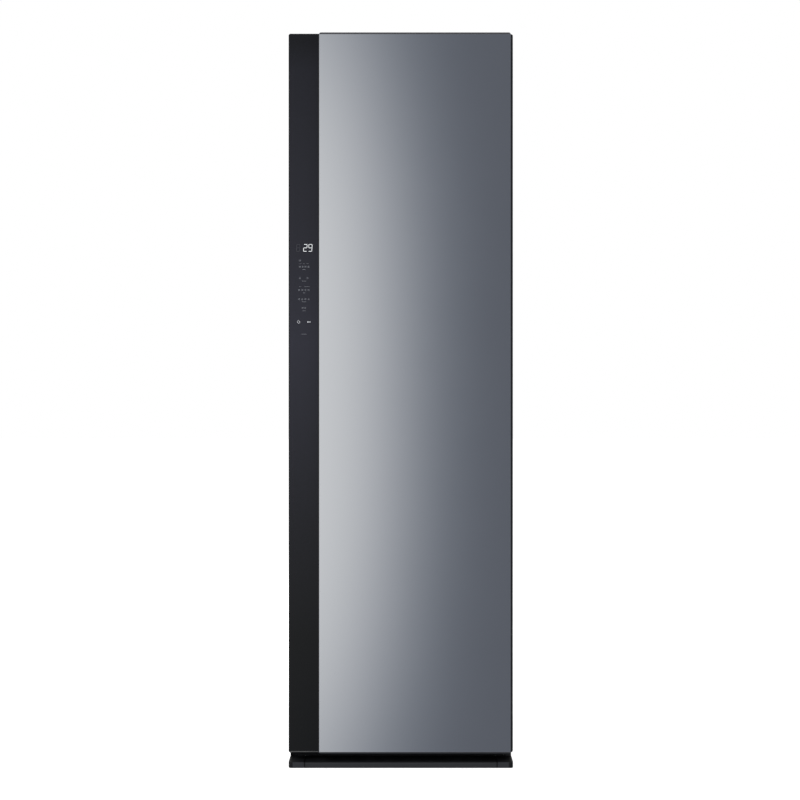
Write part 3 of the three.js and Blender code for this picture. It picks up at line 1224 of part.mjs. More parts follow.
// Finned coil: fins stand out of both faces of a core, with a pipe stub through the duct's wall
function finnedCoil(name, index, depth, stubHeight) {
  const x = grow(ductX(), -duct.wall - coil.side);
  const y = coilY(index);
  const z = [duct.bottom + duct.wall + SEAT, UNDER_CHAMBER - duct.wall - RUN];
  const pitch = (length(x) - coil.fin) / (coil.fins - 1);
  const comb = (sign) => each(coil.fins, (fin) => {
    const left = x[0] + fin * pitch;
    const edge = [
      [left, sign * coil.core / 2],
      [left, sign * depth / 2],
      [left + coil.fin, sign * depth / 2],
      [left + coil.fin, sign * coil.core / 2],
    ];
    return edge.map(([u, v]) => [u, y + v]);
  }).flat();
  const section = outline([...comb(-1), ...comb(1).reverse()]);
  const stub = rod(coil.stub, 'x', [x[1] - coil.fin, ductX()[1] + coil.stubOut], [0, y, stubHeight], SMALL);
  return node(name, join(prism(section, 'z', z), stub), 'aluminium');
}

// Fan housing: a spiral that widens towards an outlet up into the chamber's floor
function spiral(offset) {
  const points = each(scroll.steps + 1, (index) => {
    const share = index / scroll.steps;
    const radius = scroll.start + (scroll.end - scroll.start) * share + offset;
    return [duct.x + radius * Math.cos(share * 2 * Math.PI), fan.z + radius * Math.sin(share * 2 * Math.PI)];
  });
  return outline(points);
}

function fanScroll() {
  const { wall } = scroll;
  const y = [SCROLL_FRONT, SCROLL_BACK];
  const neck = (offset, top) => [grow(scrollOutlet(), offset), [fan.z, top]];
  const [outerX, outerZ] = neck(wall, UNDER_CHAMBER);
  const [innerX, innerZ] = neck(0, UNDER_CHAMBER + OVERRUN);
  const outer = join(prism(spiral(wall), 'y', y), box(outerX, y, outerZ));
  const inner = join(prism(spiral(0), 'y', grow(y, -wall)), box(innerX, grow(y, -wall), innerZ));
  const eye = rod(scroll.inlet, 'y', [y[0] - OVERRUN, y[0] + 2 * wall], [duct.x, 0, fan.z], FINE);
  const shaftHole = rod(
    fan.shaft + 2 * RUN, 'y', [y[1] - 2 * wall, y[1] + OVERRUN], [duct.x, 0, fan.z], SMALL,
  );
  return node('fan_scroll', cut(outer, inner, eye, shaftHole), 'blackPlastic');
}

// Fan wheel: blades between a back plate and a front ring, on a hub and shaft
function fanWheel() {
  const front = SCROLL_FRONT + scroll.wall + fan.gap;
  const back = SCROLL_BACK - scroll.wall - fan.gap;
  const plateY = [back - fan.plate, back];
  const centre = [0, 0, 0];
  const blades = each(fan.blades, (index) => {
    const blade = new THREE.BoxGeometry(fan.blade, back - front - fan.plate, fan.chord);
    blade.rotateY(fan.lean);
    blade.translate(0, (front + back) / 2, (fanRing.inner + fan.wheel) / 2);
    blade.rotateY(index * 2 * Math.PI / fan.blades);
    return solid(blade);
  });
  const wheel = join(
    rod(fan.wheel, 'y', plateY, centre, FINE),
    ring(fanRing.inner, fan.wheel, 'y', [front, front + fanRing.depth], centre, FINE),
    rod(fanRing.hub, 'y', [plateY[0] - fanRing.hubLength, plateY[1]], centre, ROUND),
    rod(fan.shaft, 'y', [plateY[0], SCROLL_BACK + fanMotor.shaftIn], centre, SMALL),
    ...blades,
  );
  const mesh = node('fan_wheel', wheel, 'blackPlastic');
  mesh.position.set(duct.x, 0, fan.z);
  return mesh;
}

function fanMotorNode() {
  const { radius, depth, flange, flangeDepth, nose, noseDepth, shaftIn } = fanMotor;
  const front = SCROLL_BACK + SEAT;
  const at = [duct.x, 0, fan.z];
  const mount = prism(
    rectangle(span(duct.x, flange), span(fan.z, flange), nose), 'y', [front, front + flangeDepth], TIGHT,
  );
  const can = turned([
    [0, front], [radius, front], [radius, front + depth - flangeDepth], [radius - flangeDepth, front + depth],
    [nose, front + depth], [nose, front + depth + noseDepth], [0, front + depth + noseDepth],
  ], 'y', at, ROUND);
  const hole = rod(bore(fan.shaft, SMALL), 'y', [front - OVERRUN, front + shaftIn + RUN], at, SMALL);
  return node('fan_motor', cut(join(mount, can), hole), 'blackEnamel');
}

// Compressor: a welded can on a foot plate with four rubber grommets
function compressorNode() {
  const { x, y, radius, bottom, top, waist, plate, plateHalf, grommet } = compressor;
  const floor = base.floor + SHEET + SEAT;
  const dome = radius - waist;
  const can = turned([
    [0, bottom], [waist, bottom], [radius, bottom + dome], [radius, top - 3 * dome],
    [waist, top - dome], [waist / 2, top], [0, top],
  ], 'z', [x, y, 0], FINE);
  const inset = plateHalf - grommet;
  const feet = [[-1, -1], [1, -1], [-1, 1], [1, 1]].map(([u, v]) => rod(
    grommet, 'z', [floor, bottom + plate / 2], [x + u * inset, y + v * inset, 0], SMALL,
  ));
  const tray = prism(
    rectangle(span(x, 2 * plateHalf), span(y, 2 * plateHalf), grommet), 'z',
    [bottom - plate / 2, bottom + plate / 2],
  );
  return node('compressor', join(can, tray, ...feet), 'blackEnamel');
}

// Steam generator: a ribbed boiler on four legs with a steam port on top
function steamGenerator() {
  const { left, width, front, depth, bottom, height, corner, leg, ribs, rib } = steamer;
  const x = [left, left + width];
  const y = [front, front + depth];
  const boiler = prism(rectangle(x, [bottom, bottom + height], corner), 'y', y, TIGHT);
  const bands = each(ribs, (index) => {
    const at = front + depth * (index + 1 / 2) / ribs;
    const band = rectangle(grow(x, rib), grow([bottom, bottom + height], rib), corner);
    return prism(band, 'y', span(at, rib), TIGHT);
  });
  const legs = [[0, 0], [1, 0], [0, 1], [1, 1]].map(([u, v]) => box(
    span(x[0] + corner + u * (width - 2 * corner), leg), span(y[0] + corner + v * (depth - 2 * corner), leg),
    [base.floor + SHEET + SEAT, bottom + rib],
  ));
  const port = rod(
    steamPort.radius, 'z', [bottom + height - rib, bottom + height + steamPort.height],
    [middle(x), middle(y), 0], SMALL,
  );
  return node('steam_generator', join(boiler, port, ...bands, ...legs), 'aluminium');
}

// Water pump lying along y: motor can, wider pump head and a port, on a saddle
function waterPump(name, x) {
  const { radius, length: run, y, z, base: saddle, head, headLength, port, portLength } = pump;
  const shoulder = y + headLength + (head - radius);
  const can = turned([
    [0, y], [head, y], [head, y + headLength], [radius, shoulder], [radius, y + run], [0, y + run],
  ], 'y', [x, 0, z], ROUND);
  const stand = box(span(x, saddle), [y, y + run / 2], [base.floor + SHEET + SEAT, z]);
  const spout = rod(port, 'z', [z, z + head + portLength], [x, y + headLength / 2, 0], SMALL);
  return node(name, join(can, stand, spout), 'blackPlastic');
}

// Refrigerant pipe between a coil's stub and the compressor, as a tube on a smooth curve
function pipe(name, points) {
  const curve = new THREE.CatmullRomCurve3(points.map((point) => new THREE.Vector3(...point)));
  const section = outline(each(line.sides, (index) => {
    const angle = index * 2 * Math.PI / line.sides;
    return [line.radius * Math.cos(angle), line.radius * Math.sin(angle)];
  }));
  return node(
    name, solid(new THREE.ExtrudeGeometry(section, { steps: line.steps, extrudePath: curve })), 'copper',
  );
}

function dischargeLine() {
  const start = ductX()[1] + coil.stubOut + SEAT;
  const y = coilY(1);
  const top = compressor.top + SEAT;
  const over = top + compressor.waist;
  return pipe('discharge_line', [
    [start, y, stubs.condenser],
    [start + 2 * line.radius, y, stubs.condenser],
    [start + compressor.waist, y, middle([stubs.condenser, over])],
    [middle([start, compressor.x]), middle([y, compressor.y]), over],
    [compressor.x, compressor.y, over - line.radius],
    [compressor.x, compressor.y, top + 2 * line.radius],
    [compressor.x, compressor.y, top],
  ]);
}

// Control box on the chamber's ceiling: a moulded case with raised ribs on its lid
function controlBoxNode() {
  const { left, width, front, depth, height, corner, ribs, rib, ribRise } = controlBox;
  const z = [CEILING_TOP + SEAT, CEILING_TOP + SEAT + height];
  const x = [left, left + width];
  const y = [front, front + depth];
  const lid = each(ribs, (index) => {
    const at = left + width * (index + 1 / 2) / ribs;
    return box(span(at, rib), grow(y, -2 * corner), [z[1] - SEAT, z[1] + ribRise]);
  });
  return node('control_box', join(prism(rectangle(x, y, corner), 'z', z, TIGHT), ...lid), 'blackPlastic');
}

// Assembly
const inCabinet = [0, CABINET_FRONT, 0];
const tankAt = (side) => [side * TANK_X, tank.recess, bay.bottom + SEAT];
const casing = group([
  basePan(), sidePanel('left_side_panel', -1), sidePanel('right_side_panel', 1),
  topPanel(), rearPanel(), cordInletNode(),
  kickPlate(), kickCap('kick_cap_left', -1), kickCap('kick_cap_right', 1), baseGrille(),
  levellingFoot('foot_left', -1), levellingFoot('foot_right', 1),
  rearRoller('roller_left', -1), rearRoller('roller_right', 1),
  upperHinge(), lowerHinge(), hingeCoverNode(),
]);
const steamChamber = group([
  chamberLiner(), riserCover(), chamberFloor(), chamberLamp(), lintFilter(), slattedShelf(),
], inCabinet);
const doorGroup = group([
  doorShell(), doorCore(), doorLiner(), doorGasket(),
  mirrorFrame(), mirrorGlass(), controlGlass(), controlBoard(),
  pressPad(), pressPlate(), pressLatch(), trouserClip(), clipJaw(),
]);
const hangerGroup = group([
  railFrame(), hangerCarriage(), hangerBar(), shakeMotor(), drivePinion(),
  weightGear('weight_gear_left', -1), weightGear('weight_gear_right', 1),
], [0, CABINET_FRONT + hanger.behind, 0]);
const machine = group([
  airDuct(),
  finnedCoil('evaporator', 0, coil.evaporator, stubs.evaporator),
  finnedCoil('condenser', 1, coil.condenser, stubs.condenser),
  fanScroll(), fanWheel(), fanMotorNode(), compressorNode(), steamGenerator(),
  waterPump('feed_pump', pumps.feed), waterPump('drain_pump', pumps.drain), dischargeLine(), controlBoxNode(),
], inCabinet);
const tanks = group([
  tankBay(),
  group([waterTank('supply_tank'), tankHandle('supply_handle')], tankAt(1)),
  group([waterTank('drain_tank'), tankHandle('drain_handle')], tankAt(-1)),
], inCabinet);

export default group([casing, steamChamber, doorGroup, hangerGroup, machine, tanks]);
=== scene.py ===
import math
from collections import namedtuple

import bmesh
import bpy
from mathutils import Matrix, Vector

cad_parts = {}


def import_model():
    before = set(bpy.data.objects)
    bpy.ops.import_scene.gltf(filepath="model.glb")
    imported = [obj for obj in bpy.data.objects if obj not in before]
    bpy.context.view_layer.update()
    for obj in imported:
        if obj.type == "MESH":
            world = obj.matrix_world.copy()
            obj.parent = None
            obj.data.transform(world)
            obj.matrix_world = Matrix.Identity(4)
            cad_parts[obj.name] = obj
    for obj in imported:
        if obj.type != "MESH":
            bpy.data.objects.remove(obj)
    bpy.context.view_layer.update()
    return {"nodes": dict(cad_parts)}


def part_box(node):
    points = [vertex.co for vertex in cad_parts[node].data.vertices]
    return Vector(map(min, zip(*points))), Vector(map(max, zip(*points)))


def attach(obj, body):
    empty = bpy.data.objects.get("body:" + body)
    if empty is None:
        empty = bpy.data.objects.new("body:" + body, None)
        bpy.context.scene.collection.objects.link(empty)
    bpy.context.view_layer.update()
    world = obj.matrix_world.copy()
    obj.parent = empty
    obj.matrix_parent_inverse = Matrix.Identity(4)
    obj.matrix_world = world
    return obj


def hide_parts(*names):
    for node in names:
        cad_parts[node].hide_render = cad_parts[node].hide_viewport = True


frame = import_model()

# Lengths are in millimetres and the object's own frame, and times MM they are Blender's metres
MM = 0.001
BACK, FORWARD, UP = (0, 1, 0), (0, -1, 0), (0, 0, 1)


class Box:
    """A node's box at rest."""

    def __init__(self, node):
        low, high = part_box(node)
        self.lo, self.hi = Vector(low) / MM, Vector(high) / MM
        self.mid = (self.lo + self.hi) / 2


# Materials


def linear(code):
    """An sRGB hex code as a linear colour with alpha."""
    values = [int(code[i:i + 2], 16) / 255 for i in (0, 2, 4)]
    return tuple(v / 12.92 if v <= 0.04045 else ((v + 0.055) / 1.055) ** 2.4 for v in values) + (1.0,)


def shade(colour, factor):
    return tuple(min(1.0, c * factor) for c in colour[:3]) + (1.0,)


def grey(value):
    return (value, value, value, 1.0)


class Tree:
    """A node tree with short ways to add and join nodes."""

    def __init__(self, tree):
        self.tree = tree

    def add(self, kind, inputs=None, **settings):
        made = self.tree.nodes.new(kind)
        for key, value in settings.items():
            setattr(made, key, value)
        for key, value in (inputs or {}).items():
            if isinstance(value, bpy.types.NodeSocket):
                self.tree.links.new(value, made.inputs[key])
            else:
                made.inputs[key].default_value = value
        return made

    def math(self, operation, a, b=0.0, clamp=False):
        return self.add("ShaderNodeMath", {0: a, 1: b}, operation=operation, use_clamp=clamp).outputs[0]

    def axis(self, vector, name):
        return self.add("ShaderNodeSeparateXYZ", {"Vector": vector}).outputs[name]

    def ramp(self, factor, stops):
        made = self.add("ShaderNodeValToRGB", {"Fac": factor})
        elements = made.color_ramp.elements
        elements[0].position, elements[0].color = stops[0]
        elements[1].position, elements[1].color = stops[-1]
        for position, colour in stops[1:-1]:
            elements.new(position).color = colour
        return made.outputs["Color"]

    def noise(self, vector, scale, detail=3.0):
        inputs = {"Vector": vector, "Scale": scale, "Detail": detail, "Roughness": 0.55}
        return self.add("ShaderNodeTexNoise", inputs).outputs["Fac"]

    def fit(self, value, start, end, low, high):
        """A value between start and end moved to between low and high, and held there."""
        inputs = {"Value": value, "From Min": start, "From Max": end, "To Min": low, "To Max": high}
        return self.add("ShaderNodeMapRange", inputs).outputs["Result"]

    def blend(self, first, second, share):
        """Two values mixed, with the first one's share."""
        return self.math("ADD", self.math("MULTIPLY", first, share), self.math("MULTIPLY", second, 1 - share))

    def scale(self, colour, factor):
        """A colour times a value."""
        inputs = {"Vector": colour, "Scale": factor}
        return self.add("ShaderNodeVectorMath", inputs, operation="SCALE").outputs["Vector"]

    def sum(self, first, second):
        """Two colours added."""
        made = self.add("ShaderNodeMix", data_type="RGBA", blend_type="ADD")
        made.inputs["Factor"].default_value = 1.0
        for socket, value in (("A", first), ("B", second)):
            if isinstance(value, bpy.types.NodeSocket):
                self.tree.links.new(value, made.inputs[socket])
            else:
                made.inputs[socket].default_value = value
        return made.outputs["Result"]


# Most noise falls between these two
LOW_NOISE, HIGH_NOISE = 0.3, 0.7
# Share of the fine noise in a tone, the rest being the broad noise or the spangle
FINE_SHARE = 0.6
LEAST_ROUGH = 0.02
# In metres: the height that ends the tints, and the width of a sharp change of colour
TALLEST = 2.0
EDGE = 0.0004
# Softness of a border's painted shade as a share of its width, and what is left of the colour under the
# painted shade behind a face
BORDER_SOFT = 0.1
SHADE_BEHIND_FACE = 0.3

Foot = namedtuple("Foot", "bottom top level")
Border = namedtuple("Border", "low high width level")


def material(name, code, rough, metal=0.0, vary=0.10, grain=400.0, stretch=(1.0, 1.0, 1.0), bump=0.2,
             depth=0.0001, rough_vary=0.05, broad=5.0, cells=0.0, tint=None, foot=None, border=None,
             face=None, **sockets):
    """A surface whose colour, roughness and relief come from noise in the piece's own space.

    grain is the fine noise per metre, stretch squeezes it into a brushed one, and cells adds patches like
    zinc's spangle. The rest paint light and shade into the colour, in metres: tint adds a colour by height
    for painted reflection and highlight, foot a grey between two heights for a painted highlight, border
    darkens the two sides of a range along x and face all that lies behind a depth along y, both as painted
    shade."""
    made = bpy.data.materials.new(name)
    made.use_nodes = True
    t = Tree(made.node_tree)
    shader = made.node_tree.nodes["Principled BSDF"]
    place = t.add("ShaderNodeTexCoord").outputs["Object"]
    mapped = t.add("ShaderNodeMapping", {"Vector": place, "Scale": stretch}).outputs["Vector"]
    fine = t.noise(mapped, grain)
    wide = t.noise(place, broad, detail=4.0)
    mixed = t.blend(fine, wide, FINE_SHARE)
    if cells:
        patches = t.add("ShaderNodeTexVoronoi", {"Vector": place, "Scale": cells}).outputs["Color"]
        spangle = t.add("ShaderNodeRGBToBW", {"Color": patches}).outputs["Val"]
        mixed = t.blend(mixed, spangle, FINE_SHARE)
    base = linear(code)
    tone = t.ramp(mixed, [(LOW_NOISE, shade(base, 1 - vary)), (HIGH_NOISE, shade(base, 1 + vary))])
    # The tint, foot, border and face below paint light and shade into the colour
    if tint:
        height = t.math("DIVIDE", t.axis(place, "Z"), TALLEST, clamp=True)
        tone = t.sum(tone, t.ramp(height, [(z / TALLEST, colour + (1,)) for z, colour in tint]))
    if foot:
        height = t.axis(place, "Z")
        rise = t.fit(height, foot.bottom, foot.bottom + EDGE, 0.0, foot.level)
        fall = t.fit(height, foot.top - EDGE, foot.top, 0.0, foot.level)
        tone = t.sum(tone, t.scale((1.0, 1.0, 1.0), t.math("SUBTRACT", rise, fall)))
    if border:
        across = t.axis(place, "X")
        sides = t.math("SUBTRACT", across, border.low), t.math("SUBTRACT", border.high, across)
        dark, plain = border.width * (1 - BORDER_SOFT), border.width * (1 + BORDER_SOFT)
        tone = t.scale(tone, t.fit(t.math("MINIMUM", *sides), dark, plain, border.level, 1.0))
    if face:
        tone = t.scale(tone, t.fit(t.axis(place, "Y"), face, face + EDGE, 1.0, SHADE_BEHIND_FACE))
    made.node_tree.links.new(tone, shader.inputs["Base Color"])
    smoothest, roughest = max(LEAST_ROUGH, rough - rough_vary), min(1.0, rough + rough_vary)
    roughness = t.fit(wide, LOW_NOISE, HIGH_NOISE, smoothest, roughest)
    made.node_tree.links.new(roughness, shader.inputs["Roughness"])
    relief = t.add("ShaderNodeBump", {"Height": fine, "Strength": bump, "Distance": depth})
    made.node_tree.links.new(relief.outputs["Normal"], shader.inputs["Normal"])
    shader.inputs["Metallic"].default_value = metal
    for key, value in sockets.items():
        shader.inputs[key.replace("_", " ")].default_value = value
    return made


def legend(name, code, strength):
    """A legend lit from behind, slightly uneven."""
    made = material(name, code, 0.4, vary=0.12, grain=220, bump=0.05, depth=0.00001)
    shader = made.node_tree.nodes["Principled BSDF"]
    glow = shader.inputs["Base Color"].links[0].from_socket
    made.node_tree.links.new(glow, shader.inputs["Emission Color"])
    shader.inputs["Emission Strength"].default_value = strength
    return made


# The black glass's colour holds painted light: painted shade on its two sides, a faint painted reflection of
# the room, strongest at the display's height, and a painted highlight in a line along its foot
STRIP = Box("control_glass")
STRIP_SIDE_SHADE = Border(STRIP.lo.x * MM, STRIP.hi.x * MM, width=2.6 * MM, level=0.0)
STRIP_FOOT_HIGHLIGHT = Foot(bottom=(STRIP.lo.z + 1.6) * MM, top=(STRIP.lo.z + 4.2) * MM, level=0.09)
ROOM_BLUE = (0.65, 0.65, 1.0)
GLASS_REFLECTION_LEVELS = ((0.35, 0.0), (0.64, 0.007), (0.9, 0.0165), (1.13, 0.0262), (1.46, 0.016), (1.86, 0.0115),
                (1.94, 0.004))
GLASS_PAINTED_REFLECTION = [(z, tuple(level * c for c in ROOM_BLUE)) for z, level in GLASS_REFLECTION_LEVELS]
# The trim's colour grows lighter towards its top, a painted highlight
TRIM_TOP_HIGHLIGHT = [(0.1, (0.0, 0.0, 0.0)), (1.8, (0.01, 0.01, 0.011)), (1.95, (0.046, 0.046, 0.049))]
# Painted shade on the kick plate: dark on its top behind its face, at its seams with the caps, and where the
# caps turn the corner
KICK = Box("kick_plate")
KICK_TOP_SHADE_START = (KICK.lo.y + 0.7) * MM
KICK_SEAM_SHADE = Border(KICK.lo.x * MM, KICK.hi.x * MM, width=2.8 * MM, level=0.0)
KICK_CORNER_SHADE = Border(
    Box("kick_cap_left").lo.x * MM, Box("kick_cap_right").hi.x * MM, width=11.5 * MM, level=0.3)

M = {
    "mirror": material(
        "mirror", "d2d1d0", 0.05, 1.0, vary=0.015, grain=900, bump=0.01, depth=0.00001, rough_vary=0.01),
    # The glass's tint, foot and border paint a reflection, a highlight and shade into its colour
    "control_glass": material(
        "control_glass", "020202", 0.07, vary=0.05, grain=700, bump=0.01, depth=0.00001, rough_vary=0.02,
        tint=GLASS_PAINTED_REFLECTION, foot=STRIP_FOOT_HIGHLIGHT, border=STRIP_SIDE_SHADE, Specular_IOR_Level=0.235),
    # The trim's tint paints a highlight towards its top
    "dark_trim": material(
        "dark_trim", "1d1e21", 0.34, 0.1, grain=500, stretch=(6, 6, 0.2), bump=0.12, depth=0.00004,
        tint=TRIM_TOP_HIGHLIGHT, Specular_IOR_Level=0.4),
    "black_plastic": material(
        "black_plastic", "1b1c1e", 0.46, vary=0.16, grain=1500, bump=0.35, depth=0.00012),
    # The face and border of the kick materials paint shade: on the top behind the face, at the seams and at
    # the corners
    "kick_plastic": material(
        "kick_plastic", "2f3033", 0.5, vary=0.12, grain=1500, bump=0.3, depth=0.0001, face=KICK_TOP_SHADE_START,
        border=KICK_SEAM_SHADE, Specular_IOR_Level=0.15),
    "kick_cap_plastic": material(
        "kick_cap_plastic", "313236", 0.5, vary=0.12, grain=1500, bump=0.3, depth=0.0001, face=KICK_TOP_SHADE_START,
        border=KICK_CORNER_SHADE, Specular_IOR_Level=0.15),
    "recess_plastic": material(
        "recess_plastic", "1b1c1f", 0.55, vary=0.14, grain=1500, bump=0.3, depth=0.0001,
        Specular_IOR_Level=0.25),
    "black_steel": material(
        "black_steel", "151618", 0.5, 0.1, grain=900, bump=0.2, depth=0.00008, Specular_IOR_Level=0.25),
    "shell_plastic": material(
        "shell_plastic", "17181b", 0.36, vary=0.12, grain=1200, bump=0.22, depth=0.00008),
    "dark_sheet": material(
        "dark_sheet", "2e2f33", 0.42, 0.15, vary=0.08, grain=1100, bump=0.3, depth=0.0001, rough_vary=0.02),
    "zinc_sheet": material(
        "zinc_sheet", "8f9498", 0.36, 0.7, vary=0.14, grain=500, cells=260, bump=0.12, depth=0.00005,
        rough_vary=0.08),
    "steel": material(
        "steel", "b9bdc1", 0.3, 1.0, grain=700, stretch=(0.3, 5, 5), bump=0.15, depth=0.00004),
    "gear_steel": material("gear_steel", "a9adb2", 0.34, 1.0, grain=600, bump=0.12, depth=0.00004),
    "aluminium": material(
        "aluminium", "c4c8cc", 0.3, 1.0, grain=500, stretch=(0.2, 6, 6), bump=0.14, depth=0.00004),
    "liner_plastic": material(
        "liner_plastic", "b3b5b8", 0.4, vary=0.05, grain=1300, bump=0.2, depth=0.00008, Coat_Weight=0.1),
    "pale_plastic": material(
        "pale_plastic", "d3d5d7", 0.38, vary=0.04, grain=1300, bump=0.16, depth=0.00008, Coat_Weight=0.1),
    "rubber": material("rubber", "232427", 0.72, vary=0.12, grain=1000, bump=0.3, depth=0.0001),
    "foam": material("foam", "d8d2bd", 0.9, vary=0.12, grain=260, bump=0.6, depth=0.0006),
    "felt": material(
        "felt", "777d84", 0.95, vary=0.24, grain=1500, bump=0.9, depth=0.0006, broad=14, Sheen_Weight=0.5),
    "thread": material(
        "thread", "5c6167", 0.85, vary=0.2, grain=2500, bump=0.6, depth=0.0003, Sheen_Weight=0.3),
    "net": material("net", "8a8f93", 0.6, vary=0.2, grain=2500, bump=0.5, depth=0.0002),
    "clear_plastic": material(
        "clear_plastic", "cfd9de", 0.16, vary=0.04, grain=600, bump=0.05, depth=0.00005,
        Transmission_Weight=0.6, IOR=1.3),
    "opal": material(
        "opal", "eef0f2", 0.5, vary=0.02, grain=900, bump=0.1, depth=0.00005, Transmission_Weight=0.2),
    "circuit_board": material(
        "circuit_board", "1f4d33", 0.5, vary=0.2, grain=300, bump=0.2, depth=0.0001),
    "black_enamel": material(
        "black_enamel", "18191c", 0.28, 0.1, vary=0.1, grain=300, bump=0.15, depth=0.0001, Coat_Weight=0.3),
    "copper": material("copper", "b87333", 0.32, 1.0, vary=0.14, grain=400, bump=0.1, depth=0.00005),
    "lit": legend("lit", "f0f3f8", 0.36),
    "unlit": legend("unlit", "33343a", 0.01),
    "mark": legend("mark", "85888f", 0.08),
    "bright_mark": legend("bright_mark", "c4c6cb", 0.42),
}

# Each finish with the sub-parts that have it
FINISHES = {
    "aluminium": "evaporator condenser steam_generator hanger_bar",
    "black_enamel": "fan_motor compressor shake_motor",
    "black_plastic": "cord_inlet hinge_cover air_duct fan_scroll feed_pump drain_pump control_box "
                     "trouser_clip press_latch fan_wheel lint_filter supply_handle drain_handle "
                     "foot_left foot_right",
    "black_steel": "lower_hinge",
    "circuit_board": "control_board",
    "clear_plastic": "supply_tank drain_tank",
    "control_glass": "control_glass",
    "copper": "discharge_line",
    "dark_sheet": "left_side_panel right_side_panel top_panel",
    "dark_trim": "mirror_frame",
    "felt": "press_pad",
    "foam": "door_core",
    "gear_steel": "drive_pinion weight_gear_left weight_gear_right",
    "kick_cap_plastic": "kick_cap_left kick_cap_right",
    "kick_plastic": "kick_plate",
    "liner_plastic": "chamber_liner chamber_floor tank_bay press_plate",
    "mirror": "mirror_glass",
    "opal": "chamber_lamp",
    "pale_plastic": "riser_cover door_liner slatted_shelf",
    "recess_plastic": "base_grille",
    "rubber": "door_gasket roller_left roller_right",
    "shell_plastic": "door_shell",
    "steel": "upper_hinge clip_jaw hanger_carriage",
    "zinc_sheet": "base_pan rear_panel hanger_rails",
}

# Width of the rounded edges, with the sub-parts that have it
ROUNDINGS = {
    0.15: "control_glass",
    0.3: "upper_hinge lower_hinge clip_jaw weight_gear_left weight_gear_right drive_pinion",
    0.4: "mirror_glass rear_panel base_grille hanger_carriage hanger_rails",
    0.5: "mirror_frame kick_plate kick_cap_left kick_cap_right lint_filter",
    0.6: "left_side_panel right_side_panel top_panel press_plate press_latch trouser_clip compressor "
         "steam_generator",
    0.8: "door_shell hinge_cover riser_cover chamber_floor slatted_shelf supply_handle drain_handle "
         "chamber_lamp control_box",
    1.0: "door_liner chamber_liner tank_bay supply_tank drain_tank",
}


def smooth_by_angle(angle):
    """A geometry node group that shades smooth across edges flatter than the angle."""
    group = bpy.data.node_groups.new("smooth_by_angle", "GeometryNodeTree")
    group.interface.new_socket("Geometry", in_out="INPUT", socket_type="NodeSocketGeometry")
    group.interface.new_socket("Geometry", in_out="OUTPUT", socket_type="NodeSocketGeometry")
    t = Tree(group)
    source = t.add("NodeGroupInput").outputs["Geometry"]
    shading = "GeometryNodeSetShadeSmooth"
    faces = t.add(shading, {"Geometry": source, "Shade Smooth": True}, domain="FACE").outputs["Geometry"]
    bend = t.add("GeometryNodeInputMeshEdgeAngle").outputs["Unsigned Angle"]
    soft = t.add("FunctionNodeCompare", {"A": bend, "B": angle}, data_type="FLOAT", operation="LESS_EQUAL")
    edges = t.add(shading, {"Geometry": faces, "Shade Smooth": soft.outputs["Result"]}, domain="EDGE")
    t.add("NodeGroupOutput", {"Geometry": edges.outputs["Geometry"]})
    return group


SMOOTH = smooth_by_angle(math.radians(46))
# The least angle between faces whose edge is rounded, and in metres how near points are joined
SHARP = math.radians(50)
WELD = 0.00002
BEVEL_STEPS = 2


def dress(obj, finish, bevel=0.0, weld=False, smooth=True):
    """Gives an object its material, rounded edges and smooth shading."""
    obj.data.materials.clear()
    obj.data.materials.append(M[finish])
    if weld:
        obj.modifiers.new("weld", "WELD").merge_threshold = WELD
    if bevel:
        edge = obj.modifiers.new("edge", "BEVEL")
        edge.width = bevel * MM
        edge.segments = BEVEL_STEPS
        edge.limit_method = "ANGLE"
        edge.angle_limit = SHARP
        edge.use_clamp_overlap = True
    if smooth:
        obj.modifiers.new("smooth", "NODES").node_group = SMOOTH
        if bevel:
            obj.modifiers.new("normals", "WEIGHTED_NORMAL").keep_sharp = True


def dress_nodes():
    """Dresses every sub-part that comes from the frame."""
    rounding = {name: size for size, names in ROUNDINGS.items() for name in names.split()}
    for finish, names in FINISHES.items():
        for name in names.split():
            dress(frame["nodes"][name], finish, rounding.get(name, 0.0), weld=True)


# Shapes of the pieces that Blender adds


def piece(name, bm, finish, body, smooth=True):
    """A new object from a bmesh in metres, riding on a body."""
    mesh = bpy.data.meshes.new(name)
    bm.normal_update()
    bm.to_mesh(mesh)
    bm.free()
    obj = bpy.data.objects.new(name, mesh)
    bpy.context.scene.collection.objects.link(obj)
    dress(obj, finish, smooth=smooth)
    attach(obj, body)
    return obj


def basis(normal, at):
    """The matrix that takes +Z to a normal, with its origin at a point in millimetres."""
    turn = Vector(UP).rotation_difference(Vector(normal)).to_matrix().to_4x4()
    return Matrix.Translation(Vector(at) * MM) @ turn


def lathe(bm, profile, matrix, sides=32):
    """Turns [radius, along] pairs round +Z and places the result. A radius of zero closes an end."""
    rings = []
    for radius, along in profile:
        count = sides if radius else 1
        rings.append([
            bm.verts.new(matrix @ (Vector((radius * math.cos(turn), radius * math.sin(turn), along)) * MM))
            for turn in (2 * math.pi * i / sides for i in range(count))
        ])
    for a, b in zip(rings, rings[1:]):
        for i in range(sides):
            j = (i + 1) % sides
            corners = list(dict.fromkeys([a[i % len(a)], a[j % len(a)], b[j % len(b)], b[i % len(b)]]))
            if len(corners) > 2:
                bm.faces.new(corners)


